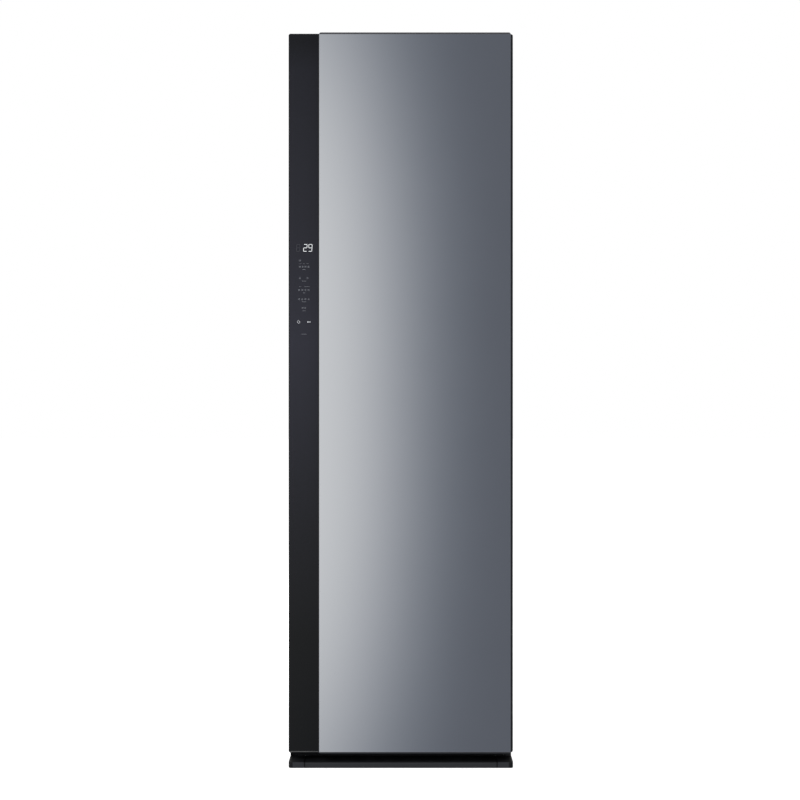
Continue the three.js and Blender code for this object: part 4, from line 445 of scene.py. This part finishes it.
def tube(bm, points, radius, up, closed=False, sides=8):
    """A round tube along points that lie square to the up direction. Open ends are closed by a low cone."""
    cone = 0.6
    up = Vector(up)
    points = [Vector(p) for p in points]
    count = len(points)
    rings = []
    for i, point in enumerate(points):
        before = points[i - 1] if closed or i else point
        after = points[(i + 1) % count] if closed or i < count - 1 else point
        aside = (after - before).normalized().cross(up)
        rings.append([
            bm.verts.new((point + (aside * math.cos(turn) + up * math.sin(turn)) * radius) * MM)
            for turn in (2 * math.pi * k / sides for k in range(sides))
        ])
    pairs = list(zip(rings, rings[1:])) + ([(rings[-1], rings[0])] if closed else [])
    for a, b in pairs:
        for k in range(sides):
            bm.faces.new([a[k], b[k], b[(k + 1) % sides], a[(k + 1) % sides]])
    if not closed:
        for ring, point, beyond in ((rings[0], points[0], points[1]), (rings[-1], points[-1], points[-2])):
            tip = bm.verts.new((point + (point - beyond).normalized() * radius * cone) * MM)
            for k in range(sides):
                bm.faces.new([ring[k], ring[(k + 1) % sides], tip])


def rounded(u, v, corner, steps=8):
    """Points round a rectangle between two ranges, with round corners."""
    points = []
    for quarter, (cu, cv) in enumerate((
            (u[1] - corner, v[1] - corner), (u[0] + corner, v[1] - corner),
            (u[0] + corner, v[0] + corner), (u[1] - corner, v[0] + corner))):
        for i in range(steps + 1):
            turn = math.pi / 2 * (quarter + i / steps)
            points.append((cu + corner * math.cos(turn), cv + corner * math.sin(turn)))
    return points


def screw(bm, at, normal, radius=3.6, height=1.7):
    """A pan-head screw with a cross recess. arm and reach are shares of its radius, deep of its height."""
    matrix = basis(normal, at)
    sides, steps, arm, reach, deep, crown = 48, 12, 0.13, 0.62, 0.75, 2.6
    rings = []
    for k in range(1, steps + 1):
        share = k / steps
        ring = []
        for i in range(sides):
            turn = 2 * math.pi * i / sides
            x, y = share * math.cos(turn), share * math.sin(turn)
            z = height * math.sqrt(max(0.0, 1 - share ** crown))
            off = min(abs(x), abs(y))
            if off < arm and share < reach:
                z -= height * deep * (1 - (off / arm) ** 4) * (1 - (share / reach) ** 6)
            ring.append(bm.verts.new(matrix @ (Vector((x * radius, y * radius, z)) * MM)))
        rings.append(ring)
    top = bm.verts.new(matrix @ (Vector((0, 0, height * (1 - deep))) * MM))
    for i in range(sides):
        bm.faces.new([top, rings[0][i], rings[0][(i + 1) % sides]])
    for a, b in zip(rings, rings[1:]):
        for i in range(sides):
            j = (i + 1) % sides
            bm.faces.new([a[i], b[i], b[j], a[j]])


def screws(name, places, normal, finish, body="root", **size):
    """Screws of one kind at several places, all facing one way."""
    bm = bmesh.new()
    for at in places:
        screw(bm, at, normal, **size)
    piece(name, bm, finish, body)


def caps(name, places, normal, finish, body="root", radius=5.5, height=1.4):
    """Round snap-in covers over screws, slightly domed."""
    bm = bmesh.new()
    wall = [(radius, 0), (radius, height * 0.45)]
    dome = [(radius * 0.9, height * 0.8), (radius * 0.5, height), (0, height)]
    for at in places:
        lathe(bm, wall + dome, basis(normal, at))
    piece(name, bm, finish, body)


# Fasteners


def casing_fasteners():
    """Screws of the rear and top panels, the hinge cover and the base grille."""
    rear = Box("rear_panel")
    bead_height, bead_margin, beads = 6, 46, 5
    edge, from_corner, rows = 11.7, 16, 5
    skin = rear.hi.y - bead_height
    first = rear.lo.z + edge + from_corner
    tall = rear.hi.z - rear.lo.z - 2 * (edge + from_corner)
    sides = [(x, skin, first + tall * k / (rows - 1))
             for x in (rear.lo.x + edge, rear.hi.x - edge) for k in range(rows)]
    pitch = (rear.hi.x - rear.lo.x - 2 * bead_margin) / beads
    between = [(k + 1 - beads / 2) * pitch for k in range(beads - 1)]
    ends = [(x, skin, z) for x in between for z in (rear.lo.z + edge, rear.hi.z - edge)]
    screws("rear_screws", sides + ends, BACK, "steel")
    top, top_spread = Box("top_panel"), 270
    along = [(x, top.hi.y - edge, top.hi.z) for x in (-top_spread, 0, top_spread)]
    screws("top_screws", along, UP, "steel")
    cover, ahead, behind = Box("hinge_cover"), 30, 22
    pair = [(cover.mid.x, y, cover.hi.z) for y in (cover.lo.y + ahead, cover.hi.y - behind)]
    screws("cover_screws", pair, UP, "black_plastic", height=1.5)
    grille, grille_spread, grille_height = Box("base_grille"), 262, 24
    low = [(x, grille.lo.y, grille_height) for x in (-grille_spread, 0, grille_spread)]
    screws("grille_screws", low, FORWARD, "black_plastic", radius=3)


def grille_seal():
    """A rubber stop under the base pan that closes the gap beside the base grille's left end."""
    grille = Box("base_grille")
    radius, pan_floor, clear, half_gap, squeezed = 1.5, 24, 1.0, 0.15, 0.8
    x, y = grille.lo.x - half_gap, grille.hi.y + radius * squeezed
    bm = bmesh.new()
    tube(bm, [(x, y, grille.lo.z + clear), (x, y, pan_floor - clear)], radius, FORWARD, sides=12)
    piece("grille_seal", bm, "rubber", "root")


def chamber_fasteners():
    """Caps and screws that show with the door open."""
    beside = 20.5
    liner, rows, top_drop, top_spread = Box("chamber_liner"), (420, 790, 1160, 1530), 70, 170
    flange = [(side * (liner.hi.x - beside), liner.lo.y, z) for side in (-1, 1) for z in rows]
    flange += [(x, liner.lo.y, liner.hi.z - top_drop) for x in (-top_spread, 0, top_spread)]
    caps("liner_caps", flange, FORWARD, "liner_plastic")
    bay, bay_rows, bay_drop = Box("tank_bay"), (110, 300), 12
    low = [(side * (bay.hi.x - beside), bay.lo.y, z) for side in (-1, 1) for z in bay_rows]
    low.append((0, bay.lo.y, bay.hi.z - bay_drop))
    caps("bay_caps", low, FORWARD, "liner_plastic", radius=4.5)
    riser, deep, inset, riser_drop = Box("riser_cover"), 19.7, 18, 30
    riser_rows = (520, 960, riser.hi.z - riser_drop)
    places = [(x, riser.hi.y - deep, z)
              for x in (riser.lo.x + inset, riser.hi.x - inset) for z in riser_rows]
    screws("riser_screws", places, FORWARD, "pale_plastic", radius=4.5)
    rails, from_end, plate, foot_spread = Box("hanger_rails"), 9, 4, 52
    feet = [(side * (rails.hi.x - from_end), y, rails.lo.z + plate)
            for side in (-1, 1) for y in (-foot_spread, foot_spread)]
    screws("rail_screws", feet, UP, "steel", radius=4.2)


def door_fasteners():
    """Caps on the door's liner and the screw in the press latch."""
    liner = Box("door_liner")
    face, beside, rows = Box("door_shell").hi.y, 50, (160, 620, 1080, 1540, 1850)
    places = [(side * (liner.hi.x - beside), face, z) for side in (-1, 1) for z in rows]
    caps("door_caps", places, BACK, "pale_plastic", body="door", radius=5)
    latch = Box("press_latch")
    screws("latch_screw", [(latch.mid.x, latch.hi.y, latch.mid.z)], BACK, "steel", body="latch", radius=4.2)


def machine_fasteners():
    """Screws of the fan motor and the compressor's mounting plate."""
    motor = Box("fan_motor")
    half, flange = 34, 3
    face = motor.lo.y + flange
    corners = [(motor.mid.x + sx * half, face, motor.mid.z + sz * half) for sx in (-1, 1) for sz in (-1, 1)]
    screws("motor_screws", corners, BACK, "steel")
    unit = Box("compressor")
    plate_top, inset = 46, 10
    along_x, along_y = ((unit.lo[i] + inset, unit.hi[i] - inset) for i in (0, 1))
    feet = [(x, y, plate_top) for x in along_x for y in along_y]
    screws("compressor_bolts", feet, UP, "steel", radius=6, height=4)


# Pieces inside the chamber and the tank bay


def steam_nozzles():
    """Three flanged nozzles in the foot of the riser cover."""
    riser = Box("riser_cover")
    pitch, above, standoff = 90, 47.7, 0.2
    flange = [(0, 0.0), (13, 0.0), (13.4, 1.2), (12.6, 2.2), (7, 2.6)]
    throat = [(5.6, 6.6), (4.2, 7.2), (2.2, 7.0), (2.0, 3.0), (0, 3.0)]
    bm = bmesh.new()
    for x in (-pitch, 0, pitch):
        lathe(bm, flange + throat, basis(FORWARD, (x, riser.lo.y - standoff, riser.lo.z + above)))
    piece("steam_nozzles", bm, "black_plastic", "root")


def filter_net():
    """A woven net across the windows of the lint filter."""
    box = Box("lint_filter")
    rim, pitch, wire, height = 8, 2.5, 0.24, 6
    bm = bmesh.new()
    x, y = (box.lo.x + rim, box.hi.x - rim), (box.lo.y + rim, box.hi.y - rim)
    level = box.lo.z + height
    for k in range(int((y[1] - y[0]) / pitch)):
        at = y[0] + pitch * (k + 0.5)
        tube(bm, [(x[0], at, level), (x[1], at, level)], wire, UP, sides=6)
    for k in range(int((x[1] - x[0]) / pitch)):
        at = x[0] + pitch * (k + 0.5)
        tube(bm, [(at, y[0], level + wire), (at, y[1], level + wire)], wire, UP, sides=6)
    piece("filter_net", bm, "net", "filter")


def tank_seal(side):
    """The rubber seal round a tank's mouth."""
    tank = Box(side + "_tank")
    mouth_half, mouth_front, mouth_back, corner, seal, proud = 65, 39, 101, 16, 1.8, 0.7
    bm = bmesh.new()
    outline = rounded((tank.mid.x - mouth_half, tank.mid.x + mouth_half),
                      (tank.lo.y + mouth_front, tank.lo.y + mouth_back), corner)
    tube(bm, [(x, y, tank.hi.z + seal * proud) for x, y in outline], seal, UP, closed=True, sides=10)
    piece(side + "_seal", bm, "rubber", side)


def tank_levels(side):
    """The moulded level lines on a tank's front, with a long one at the top."""
    tank = Box(side + "_tank")
    inset, short, long, first, step, lines, line = 24, 12, 26, 32, 24, 6, 0.55
    right, front = tank.hi.x - inset, tank.lo.y
    heights = [tank.lo.z + first + step * k for k in range(lines)]
    bm = bmesh.new()
    for z in heights:
        reach = long if z == heights[-1] else short
        tube(bm, [(right - reach, front, z), (right, front, z)], line, FORWARD)
    tube(bm, [(right, front, heights[0]), (right, front, heights[-1])], line, FORWARD)
    piece(side + "_levels", bm, "clear_plastic", side)


# The door's gasket, the mirror's edges and the felt pad


def gasket_lips():
    """Two thin lips beside the gasket's bulb, all the way round."""
    gasket = Box("door_gasket")
    corner, tightest, lip, standoff, width, from_edge = 18, 2, 0.9, 3.0, 20, 2.4
    bm = bmesh.new()
    for inset in (from_edge, width - from_edge):
        outline = rounded((gasket.lo.x + inset, gasket.hi.x - inset),
                          (gasket.lo.z + inset, gasket.hi.z - inset), max(corner - inset, tightest))
        tube(bm, [(x, gasket.lo.y + standoff, z) for x, z in outline], lip, BACK, closed=True)
    piece("gasket_lips", bm, "rubber", "door")


def glass_edges():
    """The polished long edges of the mirror glass, over the tray's thin side walls."""
    tray, glass = Box("mirror_frame"), Box("mirror_glass")
    chamfer, proud, sunk = 0.35, 0.06, 0.2
    shoulder = chamfer * 0.6
    bm = bmesh.new()
    for outer, inner in ((tray.lo.x, glass.lo.x), (tray.hi.x, glass.hi.x)):
        inward = math.copysign(chamfer, inner - outer)
        edge = [(outer, sunk), (outer, shoulder), (outer + inward, -proud)]
        section = edge + [(inner, -proud), (inner, sunk)]
        rings = [[bm.verts.new(Vector((x, tray.lo.y + y, z)) * MM) for x, y in section]
                 for z in (glass.lo.z, glass.hi.z)]
        for k in range(len(section)):
            j = (k + 1) % len(section)
            bm.faces.new([rings[0][k], rings[0][j], rings[1][j], rings[1][k]])
        for ring in rings:
            bm.faces.new(ring)
    bmesh.ops.recalc_face_normals(bm, faces=bm.faces)
    piece("glass_edges", bm, "mirror", "door", smooth=False)


class FeltPad:
    """Felt pad of the trouser press: crowned, with round corners, a pressed border and a sewn edge."""

    corner, seam_inset, clear = 22, 13, 0.1
    # How fast the felt rises from its rim, how wide the seam's dent is, and shares of the thickness
    rim_rise, seam_width = 3.2, 1.6
    seam_depth, crown, least = 0.26, 0.14, 0.12

    def __init__(self):
        node = Box("press_pad")
        self.x, self.z = (node.lo.x, node.hi.x), (node.lo.z, node.hi.z)
        self.back, self.face = node.lo.y + self.clear, node.hi.y - self.clear
        self.middle = (node.mid.x, node.mid.z)
        self.half = ((self.x[1] - self.x[0]) / 2, (self.z[1] - self.z[0]) / 2)

    def beyond(self, x, z):
        """How far a point lies past the straight part of each side, along x and z."""
        return (abs(x - self.middle[0]) - (self.half[0] - self.corner),
                abs(z - self.middle[1]) - (self.half[1] - self.corner))

    def inside(self, x, z):
        """Distance in from the rounded outline."""
        qx, qz = self.beyond(x, z)
        return self.corner - (math.hypot(max(qx, 0), max(qz, 0)) + min(max(qx, qz), 0))

    def squeeze(self, u, v):
        """A point of the square sheet moved into the rounded corners."""
        x, z = self.middle[0] + u * self.half[0], self.middle[1] + v * self.half[1]
        qx, qz = self.beyond(x, z)
        if qx > 0 and qz > 0:
            scale = max(qx, qz) / math.hypot(qx, qz)
            x = self.middle[0] + math.copysign(self.half[0] - self.corner + qx * scale, x - self.middle[0])
            z = self.middle[1] + math.copysign(self.half[1] - self.corner + qz * scale, z - self.middle[1])
        return x, z

    def surface(self, x, z):
        """Where the felt's face stands at a point."""
        edge = self.inside(x, z)
        rim = 1 - math.exp(-max(edge, 0) / self.rim_rise)
        seam = self.seam_depth * math.exp(-((edge - self.seam_inset) / self.seam_width) ** 2)
        u, v = (x - self.middle[0]) / self.half[0], (z - self.middle[1]) / self.half[1]
        crowned = 1 - self.crown + self.crown * (1 - u ** 2) * (1 - v ** 6)
        return self.back + (self.face - self.back) * max(self.least, rim * crowned - seam)

    def pad(self):
        """The felt itself, a sheet of quads on a flat back."""
        columns, rows, tight = 44, 108, 1.9
        bm = bmesh.new()

        def spread(count):
            """Stations from -1 to 1, closer together near the ends."""
            even = (2 * i / count - 1 for i in range(count + 1))
            return [math.copysign(1 - (1 - abs(t)) ** tight, t) for t in even]

        grid = []
        for v in spread(rows):
            points = [self.squeeze(u, v) for u in spread(columns)]
            grid.append([bm.verts.new(Vector((x, self.surface(x, z), z)) * MM) for x, z in points])
        for a, b in zip(grid, grid[1:]):
            for i in range(columns):
                bm.faces.new([a[i], b[i], b[i + 1], a[i + 1]])
        right, left = [row[-1] for row in grid[1:]], [row[0] for row in grid[-2:0:-1]]
        rim = grid[0] + right + grid[-1][-2::-1] + left
        low = [bm.verts.new(Vector((v.co.x, self.back * MM, v.co.z))) for v in rim]
        for i in range(len(rim)):
            j = (i + 1) % len(rim)
            bm.faces.new([rim[i], rim[j], low[j], low[i]])
        bm.faces.new(low)
        bmesh.ops.recalc_face_normals(bm, faces=bm.faces)
        made = piece("felt_pad", bm, "felt", "door")
        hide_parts("press_pad")

    def stitches(self):
        """Straight runs of thread along the seam, stopping short of the corners."""
        pitch, fill, thick, sunk = 8.0, 0.7, 0.45, 0.1
        inset = self.seam_inset
        turn = self.corner - inset / 2
        x0, x1 = self.x[0] + inset, self.x[1] - inset
        z0, z1 = self.z[0] + inset, self.z[1] - inset
        runs = [((x0 + turn, z0), (x1 - turn, z0)), ((x1, z0 + turn), (x1, z1 - turn)),
                ((x1 - turn, z1), (x0 + turn, z1)), ((x0, z1 - turn), (x0, z0 + turn))]
        bm = bmesh.new()
        for start, end in runs:
            start, end = Vector(start), Vector(end)
            count = int((end - start).length // pitch)
            half = (end - start).length / count * fill / 2
            for k in range(count):
                at = start.lerp(end, (k + 0.5) / count)
                along = (end - start).normalized()
                matrix = basis((along.x, 0, along.y), (at.x, self.surface(at.x, at.y) - sunk, at.y))
                end_ring, end_at = thick * 0.8, half * 0.8
                profile = [(0, -half), (end_ring, -end_at), (thick, 0), (end_ring, end_at), (0, half)]
                lathe(bm, profile, matrix, sides=6)
        piece("pad_stitches", bm, "thread", "door")


# Display and touch marks on the strip's glass

MARK_PROUD = 0.12
MARK_FACE = STRIP.lo.y - MARK_PROUD
SEGMENTS = {"2": "abged", "8": "abcdefg", "9": "abcdfg"}


def flat(bm, points):
    """A flat face seen from the front, from [x, z] points."""
    face = bm.faces.new([bm.verts.new(Vector((x, MARK_FACE, z)) * MM) for x, z in points])
    face.normal_update()
    if face.normal.y > 0:
        face.normal_flip()


def digit(bm, figure, left, bottom, width, height, bar, lean=0.07):
    """Seven-segment figure, leaning to the right, drawn on the middle lines of its bars."""
    gap = bar * 0.16
    half, thin = height / 2, bar / 2
    shoulder = thin + gap
    across = [(gap, 0), (shoulder, thin), (width - shoulder, thin), (width - gap, 0),
              (width - shoulder, -thin), (shoulder, -thin)]
    upright = [(0, gap), (-thin, shoulder), (-thin, half - shoulder), (0, half - gap),
               (thin, half - shoulder), (thin, shoulder)]
    places = {
        "a": (across, 0, height), "g": (across, 0, half), "d": (across, 0, 0),
        "f": (upright, 0, half), "b": (upright, width, half),
        "e": (upright, 0, 0), "c": (upright, width, 0),
    }
    for letter in SEGMENTS[figure]:
        shape, dx, dz = places[letter]
        flat(bm, [(left + x + dx + (z + dz) * lean, bottom + z + dz) for x, z in shape])


def arc(bm, x, z, radius, width, start=0, end=360, steps=28):
    """A ring or part of one, in degrees from +X."""
    for i in range(steps):
        a, b = (math.radians(start + (end - start) * k / steps) for k in (i, i + 1))
        corners = ((radius, a), (radius + width, a), (radius + width, b), (radius, b))
        flat(bm, [(x + r * math.cos(t), z + r * math.sin(t)) for r, t in corners])


def stroke(bm, x0, z0, x1, z1, width):
    """A straight line between two points."""
    along = Vector((x1 - x0, z1 - z0)).normalized()
    side = Vector((-along.y, along.x)) * width / 2
    flat(bm, [(x0 + side.x, z0 + side.y), (x1 + side.x, z1 + side.y),
              (x1 - side.x, z1 - side.y), (x0 - side.x, z0 - side.y)])


def display():
    """A two-figure readout with an unlit third figure beside it."""
    size = {"bottom": 1378.1, "width": 8.8, "height": 18.6, "bar": 1.2}
    lit, unlit = (("2", -260.5), ("9", -247.0)), (("8", -279.5),)
    for finish, figures in (("lit", lit), ("unlit", unlit)):
        bm = bmesh.new()
        for figure, left in figures:
            digit(bm, figure, left, **size)
        piece("display_" + finish, bm, finish, "door", smooth=False)


def icon(bm, kind, x, z):
    """A plain pictogram, by number: a ring, three uprights, a ring with a stem or three bars."""
    line, reach = 0.55, 2.1
    if kind == 0:
        radius = 1.7
        arc(bm, x, z, radius, line)
    elif kind == 1:
        for dx in (-1.7, 0, 1.7):
            stroke(bm, x + dx, z - reach, x + dx, z + reach, line)
    elif kind == 2:
        radius, drop, opening, stem = 1.5, 0.6, (130, 410), (1.0, 2.7)
        arc(bm, x, z - drop, radius, line, *opening)
        stroke(bm, x, z + stem[0], x, z + stem[1], line)
    else:
        for dz in (-1.6, 0, 1.6):
            stroke(bm, x - reach, z + dz, x + reach, z + dz, line)


def touch_marks():
    """Rows of small pictograms, with short bars between the rows and under them."""
    kinds, middle, thick, thin = 4, -259, 0.6, 0.45
    four = (-272, -263.5, -255, -246.5)
    rows = ((1353.5, (-270,)), (1337, (-270, -262.5, -255, -247)), (1306.5, (-269.5, -250)),
            (1274.5, four), (1250.4, four), (1226.5, (-262.5, -256)))
    bars_under = ((1329.5, 4), (1298.5, 6), (1267, 3), (1243, 6), (1219, 4), (1156.6, 7))
    bars_between = ((1345, ((-271, -266), (-262, -257), (-252, -246))),
                    (1283.5, ((-272, -266), (-258, -244))))
    bm = bmesh.new()
    for row, (z, places) in enumerate(rows):
        for k, x in enumerate(places):
            icon(bm, (2 * k + row) % kinds, x, z)
    for z, half in bars_under:
        stroke(bm, middle - half, z, middle + half, z, thick)
    for z, bars in bars_between:
        for x0, x1 in bars:
            stroke(bm, x0, z, x1, z, thin)
    piece("touch_marks", bm, "mark", "door", smooth=False)


def touch_keys():
    """The power key, a ring open at the top with a stem, and the start key, a triangle with two bars."""
    z, power_x, radius, line, opening, stem = 1189.2, -273.6, 3.0, 0.7, (118, 422), (2.8, 4.8)
    bm = bmesh.new()
    arc(bm, power_x, z, radius, line, *opening)
    stroke(bm, power_x, z + stem[0], power_x, z + stem[1], line)
    start_x, base, tip, half = -245.4, -4.2, -0.2, 2.4
    flat(bm, [(start_x + base, z - half), (start_x + base, z + half), (start_x + tip, z)])
    bars, bar, bar_half = (1.0, 3.0), 0.8, 2.1
    for dx in bars:
        stroke(bm, start_x + dx, z - bar_half, start_x + dx, z + bar_half, bar)
    piece("touch_keys", bm, "bright_mark", "door", smooth=False)


# Stage, light and camera

GLOSS_LEVEL = 1.57
FILL_LEVEL = 0.55
# The window's light: its level, where it starts to fall off along x, how far the fall reaches, its width
# and steepness, the ramp's steps, and each colour's level and steepness
WINDOW_PEAK = 0.475
WINDOW_EDGE = -0.08
WINDOW_SPREAD = 0.2
WINDOW_WIDTH = 0.0845
WINDOW_FALL = 2.35
WINDOW_STOPS = 20
WINDOW_WARMTH = ((0.99, 1.03), (1.008, 0.99), (1.02, 0.93))
# Up and down from its middle the window's edge bends to the left, and the two falls meet in a round corner
WINDOW_MIDDLE = 0.005
WINDOW_HALF = 0.266
WINDOW_BEND = 0.0595
BEND_POWER = 1.75
ROUND_POWER = 1.5
# The room that glossy surfaces see in front, and around them from left to right, and how the first passes
# into the second along y
ROOM_FRONT = (0.0935, 0.1035, 0.1255, 1.0)
ROOM_AROUND = [(0.0, grey(0.54)), (0.35, grey(0.52)), (0.65, grey(0.36)), (1.0, grey(0.26))]
FRONT_SLOPE, FRONT_START = 2.5, 2.0
WHITE = (1.0, 1.0, 1.0, 1.0)


def window_light(away):
    """The window's colour at a distance from its lit part, a little bluer where it is weak."""
    share = math.exp(-(away / WINDOW_WIDTH) ** WINDOW_FALL)
    return tuple(WINDOW_PEAK * level * share ** power for level, power in WINDOW_WARMTH) + (1.0,)


def window(t, way):
    """The window's light from the direction that a ray goes."""
    aside = t.math("MAXIMUM", t.math("SUBTRACT", t.axis(way, "X"), WINDOW_EDGE), 0.0)
    above = t.math("ABSOLUTE", t.math("SUBTRACT", t.axis(way, "Z"), WINDOW_MIDDLE))
    bend = t.math("MULTIPLY", t.math("POWER", t.math("DIVIDE", above, WINDOW_HALF), BEND_POWER), WINDOW_BEND)
    reach = t.math("ADD", t.math("POWER", aside, ROUND_POWER), t.math("POWER", bend, ROUND_POWER))
    near = t.math("DIVIDE", t.math("POWER", reach, 1 / ROUND_POWER), WINDOW_SPREAD, clamp=True)
    shares = [i / WINDOW_STOPS for i in range(WINDOW_STOPS + 1)]
    return t.ramp(near, [(share, window_light(share * WINDOW_SPREAD)) for share in shares])


def world():
    """White to the camera, a plain level of fill, and for what is glossy a room with a soft window."""
    made = bpy.data.worlds.new("studio")
    bpy.context.scene.world = made
    made.use_nodes = True
    made.node_tree.nodes.clear()
    t = Tree(made.node_tree)
    way = t.add("ShaderNodeTexCoord").outputs["Generated"]
    behind = t.math("ADD", t.math("MULTIPLY", t.axis(way, "Y"), FRONT_SLOPE), FRONT_START, clamp=True)
    across = t.fit(t.axis(way, "X"), -1.0, 1.0, 0.0, 1.0)
    around = t.add("ShaderNodeMix", data_type="RGBA")
    t.tree.links.new(behind, around.inputs["Factor"])
    t.tree.links.new(t.sum(window(t, way), ROOM_FRONT), around.inputs["A"])
    t.tree.links.new(t.ramp(across, ROOM_AROUND), around.inputs["B"])
    backdrop = "ShaderNodeBackground"
    gloss = t.add(backdrop, {"Color": around.outputs["Result"], "Strength": GLOSS_LEVEL}).outputs[0]
    white = t.add(backdrop, {"Color": WHITE, "Strength": 1.0}).outputs[0]
    fill = t.add(backdrop, {"Color": WHITE, "Strength": FILL_LEVEL}).outputs[0]
    ray = t.add("ShaderNodeLightPath").outputs
    plain = t.math("MAXIMUM", ray["Is Camera Ray"], ray["Is Transmission Ray"])
    lit = t.add("ShaderNodeMixShader", {0: ray["Is Glossy Ray"], 1: fill, 2: gloss}).outputs[0]
    shown = t.add("ShaderNodeMixShader", {0: plain, 1: lit, 2: white}).outputs[0]
    t.add("ShaderNodeOutputWorld", {"Surface": shown})


def floor():
    """A white floor that keeps the object's shadow. It glows a little to the camera only."""
    glow_level, size, drop, grain, greys = 0.72, 60, 0.0005, 3.0, (0.80, 0.83)
    bpy.ops.mesh.primitive_plane_add(size=size, location=(0, 0, -drop))
    ground = bpy.context.object
    ground.name = "floor"
    made = bpy.data.materials.new("floor")
    made.use_nodes = True
    made.node_tree.nodes.clear()
    t = Tree(made.node_tree)
    place = t.add("ShaderNodeTexCoord").outputs["Object"]
    tone = t.ramp(t.noise(place, grain), [(LOW_NOISE, grey(greys[0])), (HIGH_NOISE, grey(greys[1]))])
    matte = t.add("ShaderNodeBsdfDiffuse", {"Color": tone}).outputs[0]
    glow = t.add("ShaderNodeEmission", {"Color": WHITE, "Strength": glow_level}).outputs[0]
    lifted = t.add("ShaderNodeAddShader", {0: matte, 1: glow}).outputs[0]
    ray = t.add("ShaderNodeLightPath").outputs
    shown = t.add("ShaderNodeMixShader", {0: ray["Is Camera Ray"], 1: matte, 2: lifted}).outputs[0]
    t.add("ShaderNodeOutputMaterial", {"Surface": shown})
    ground.data.materials.append(made)
    ground.visible_glossy = False


LAMP_AIM = Vector((0, 0, 1.0))


def lamp(name, at, size, power):
    """A soft rectangular lamp, in metres and watts, that faces the middle of the cabinet."""
    data = bpy.data.lights.new(name, "AREA")
    data.shape = "RECTANGLE"
    data.size, data.size_y = size
    data.energy = power
    obj = bpy.data.objects.new(name, data)
    obj.location = at
    obj.rotation_euler = (LAMP_AIM - Vector(at)).to_track_quat("-Z", "Y").to_euler()
    obj.visible_glossy = False
    obj.visible_camera = False
    bpy.context.scene.collection.objects.link(obj)


def camera():
    """The photograph's view: level, straight at the door, from about 3.6 m."""
    lens, sensor, place = 60.86, 36, (-0.0022, -3.898, 0.98048)
    data = bpy.data.cameras.new("camera")
    data.lens = lens
    data.sensor_width = sensor
    obj = bpy.data.objects.new("camera", data)
    obj.location = place
    obj.rotation_euler = (math.radians(90), 0, 0)
    bpy.context.scene.collection.objects.link(obj)
    bpy.context.scene.camera = obj


dress_nodes()
casing_fasteners()
grille_seal()
chamber_fasteners()
door_fasteners()
machine_fasteners()
steam_nozzles()
filter_net()
for side in ("supply", "drain"):
    tank_seal(side)
    tank_levels(side)
gasket_lips()
glass_edges()
felt = FeltPad()
felt.pad()
felt.stitches()
display()
touch_marks()
touch_keys()

world()
floor()
lamp("key", at=(-2.6, -3.6, 3.4), size=(2.4, 2.4), power=120)
lamp("side", at=(3.4, -1.8, 2.2), size=(2.0, 2.4), power=60)
lamp("back", at=(-2.6, 3.2, 2.8), size=(1.6, 2.0), power=70)
camera()
bpy.context.scene.view_settings.view_transform = "Standard"
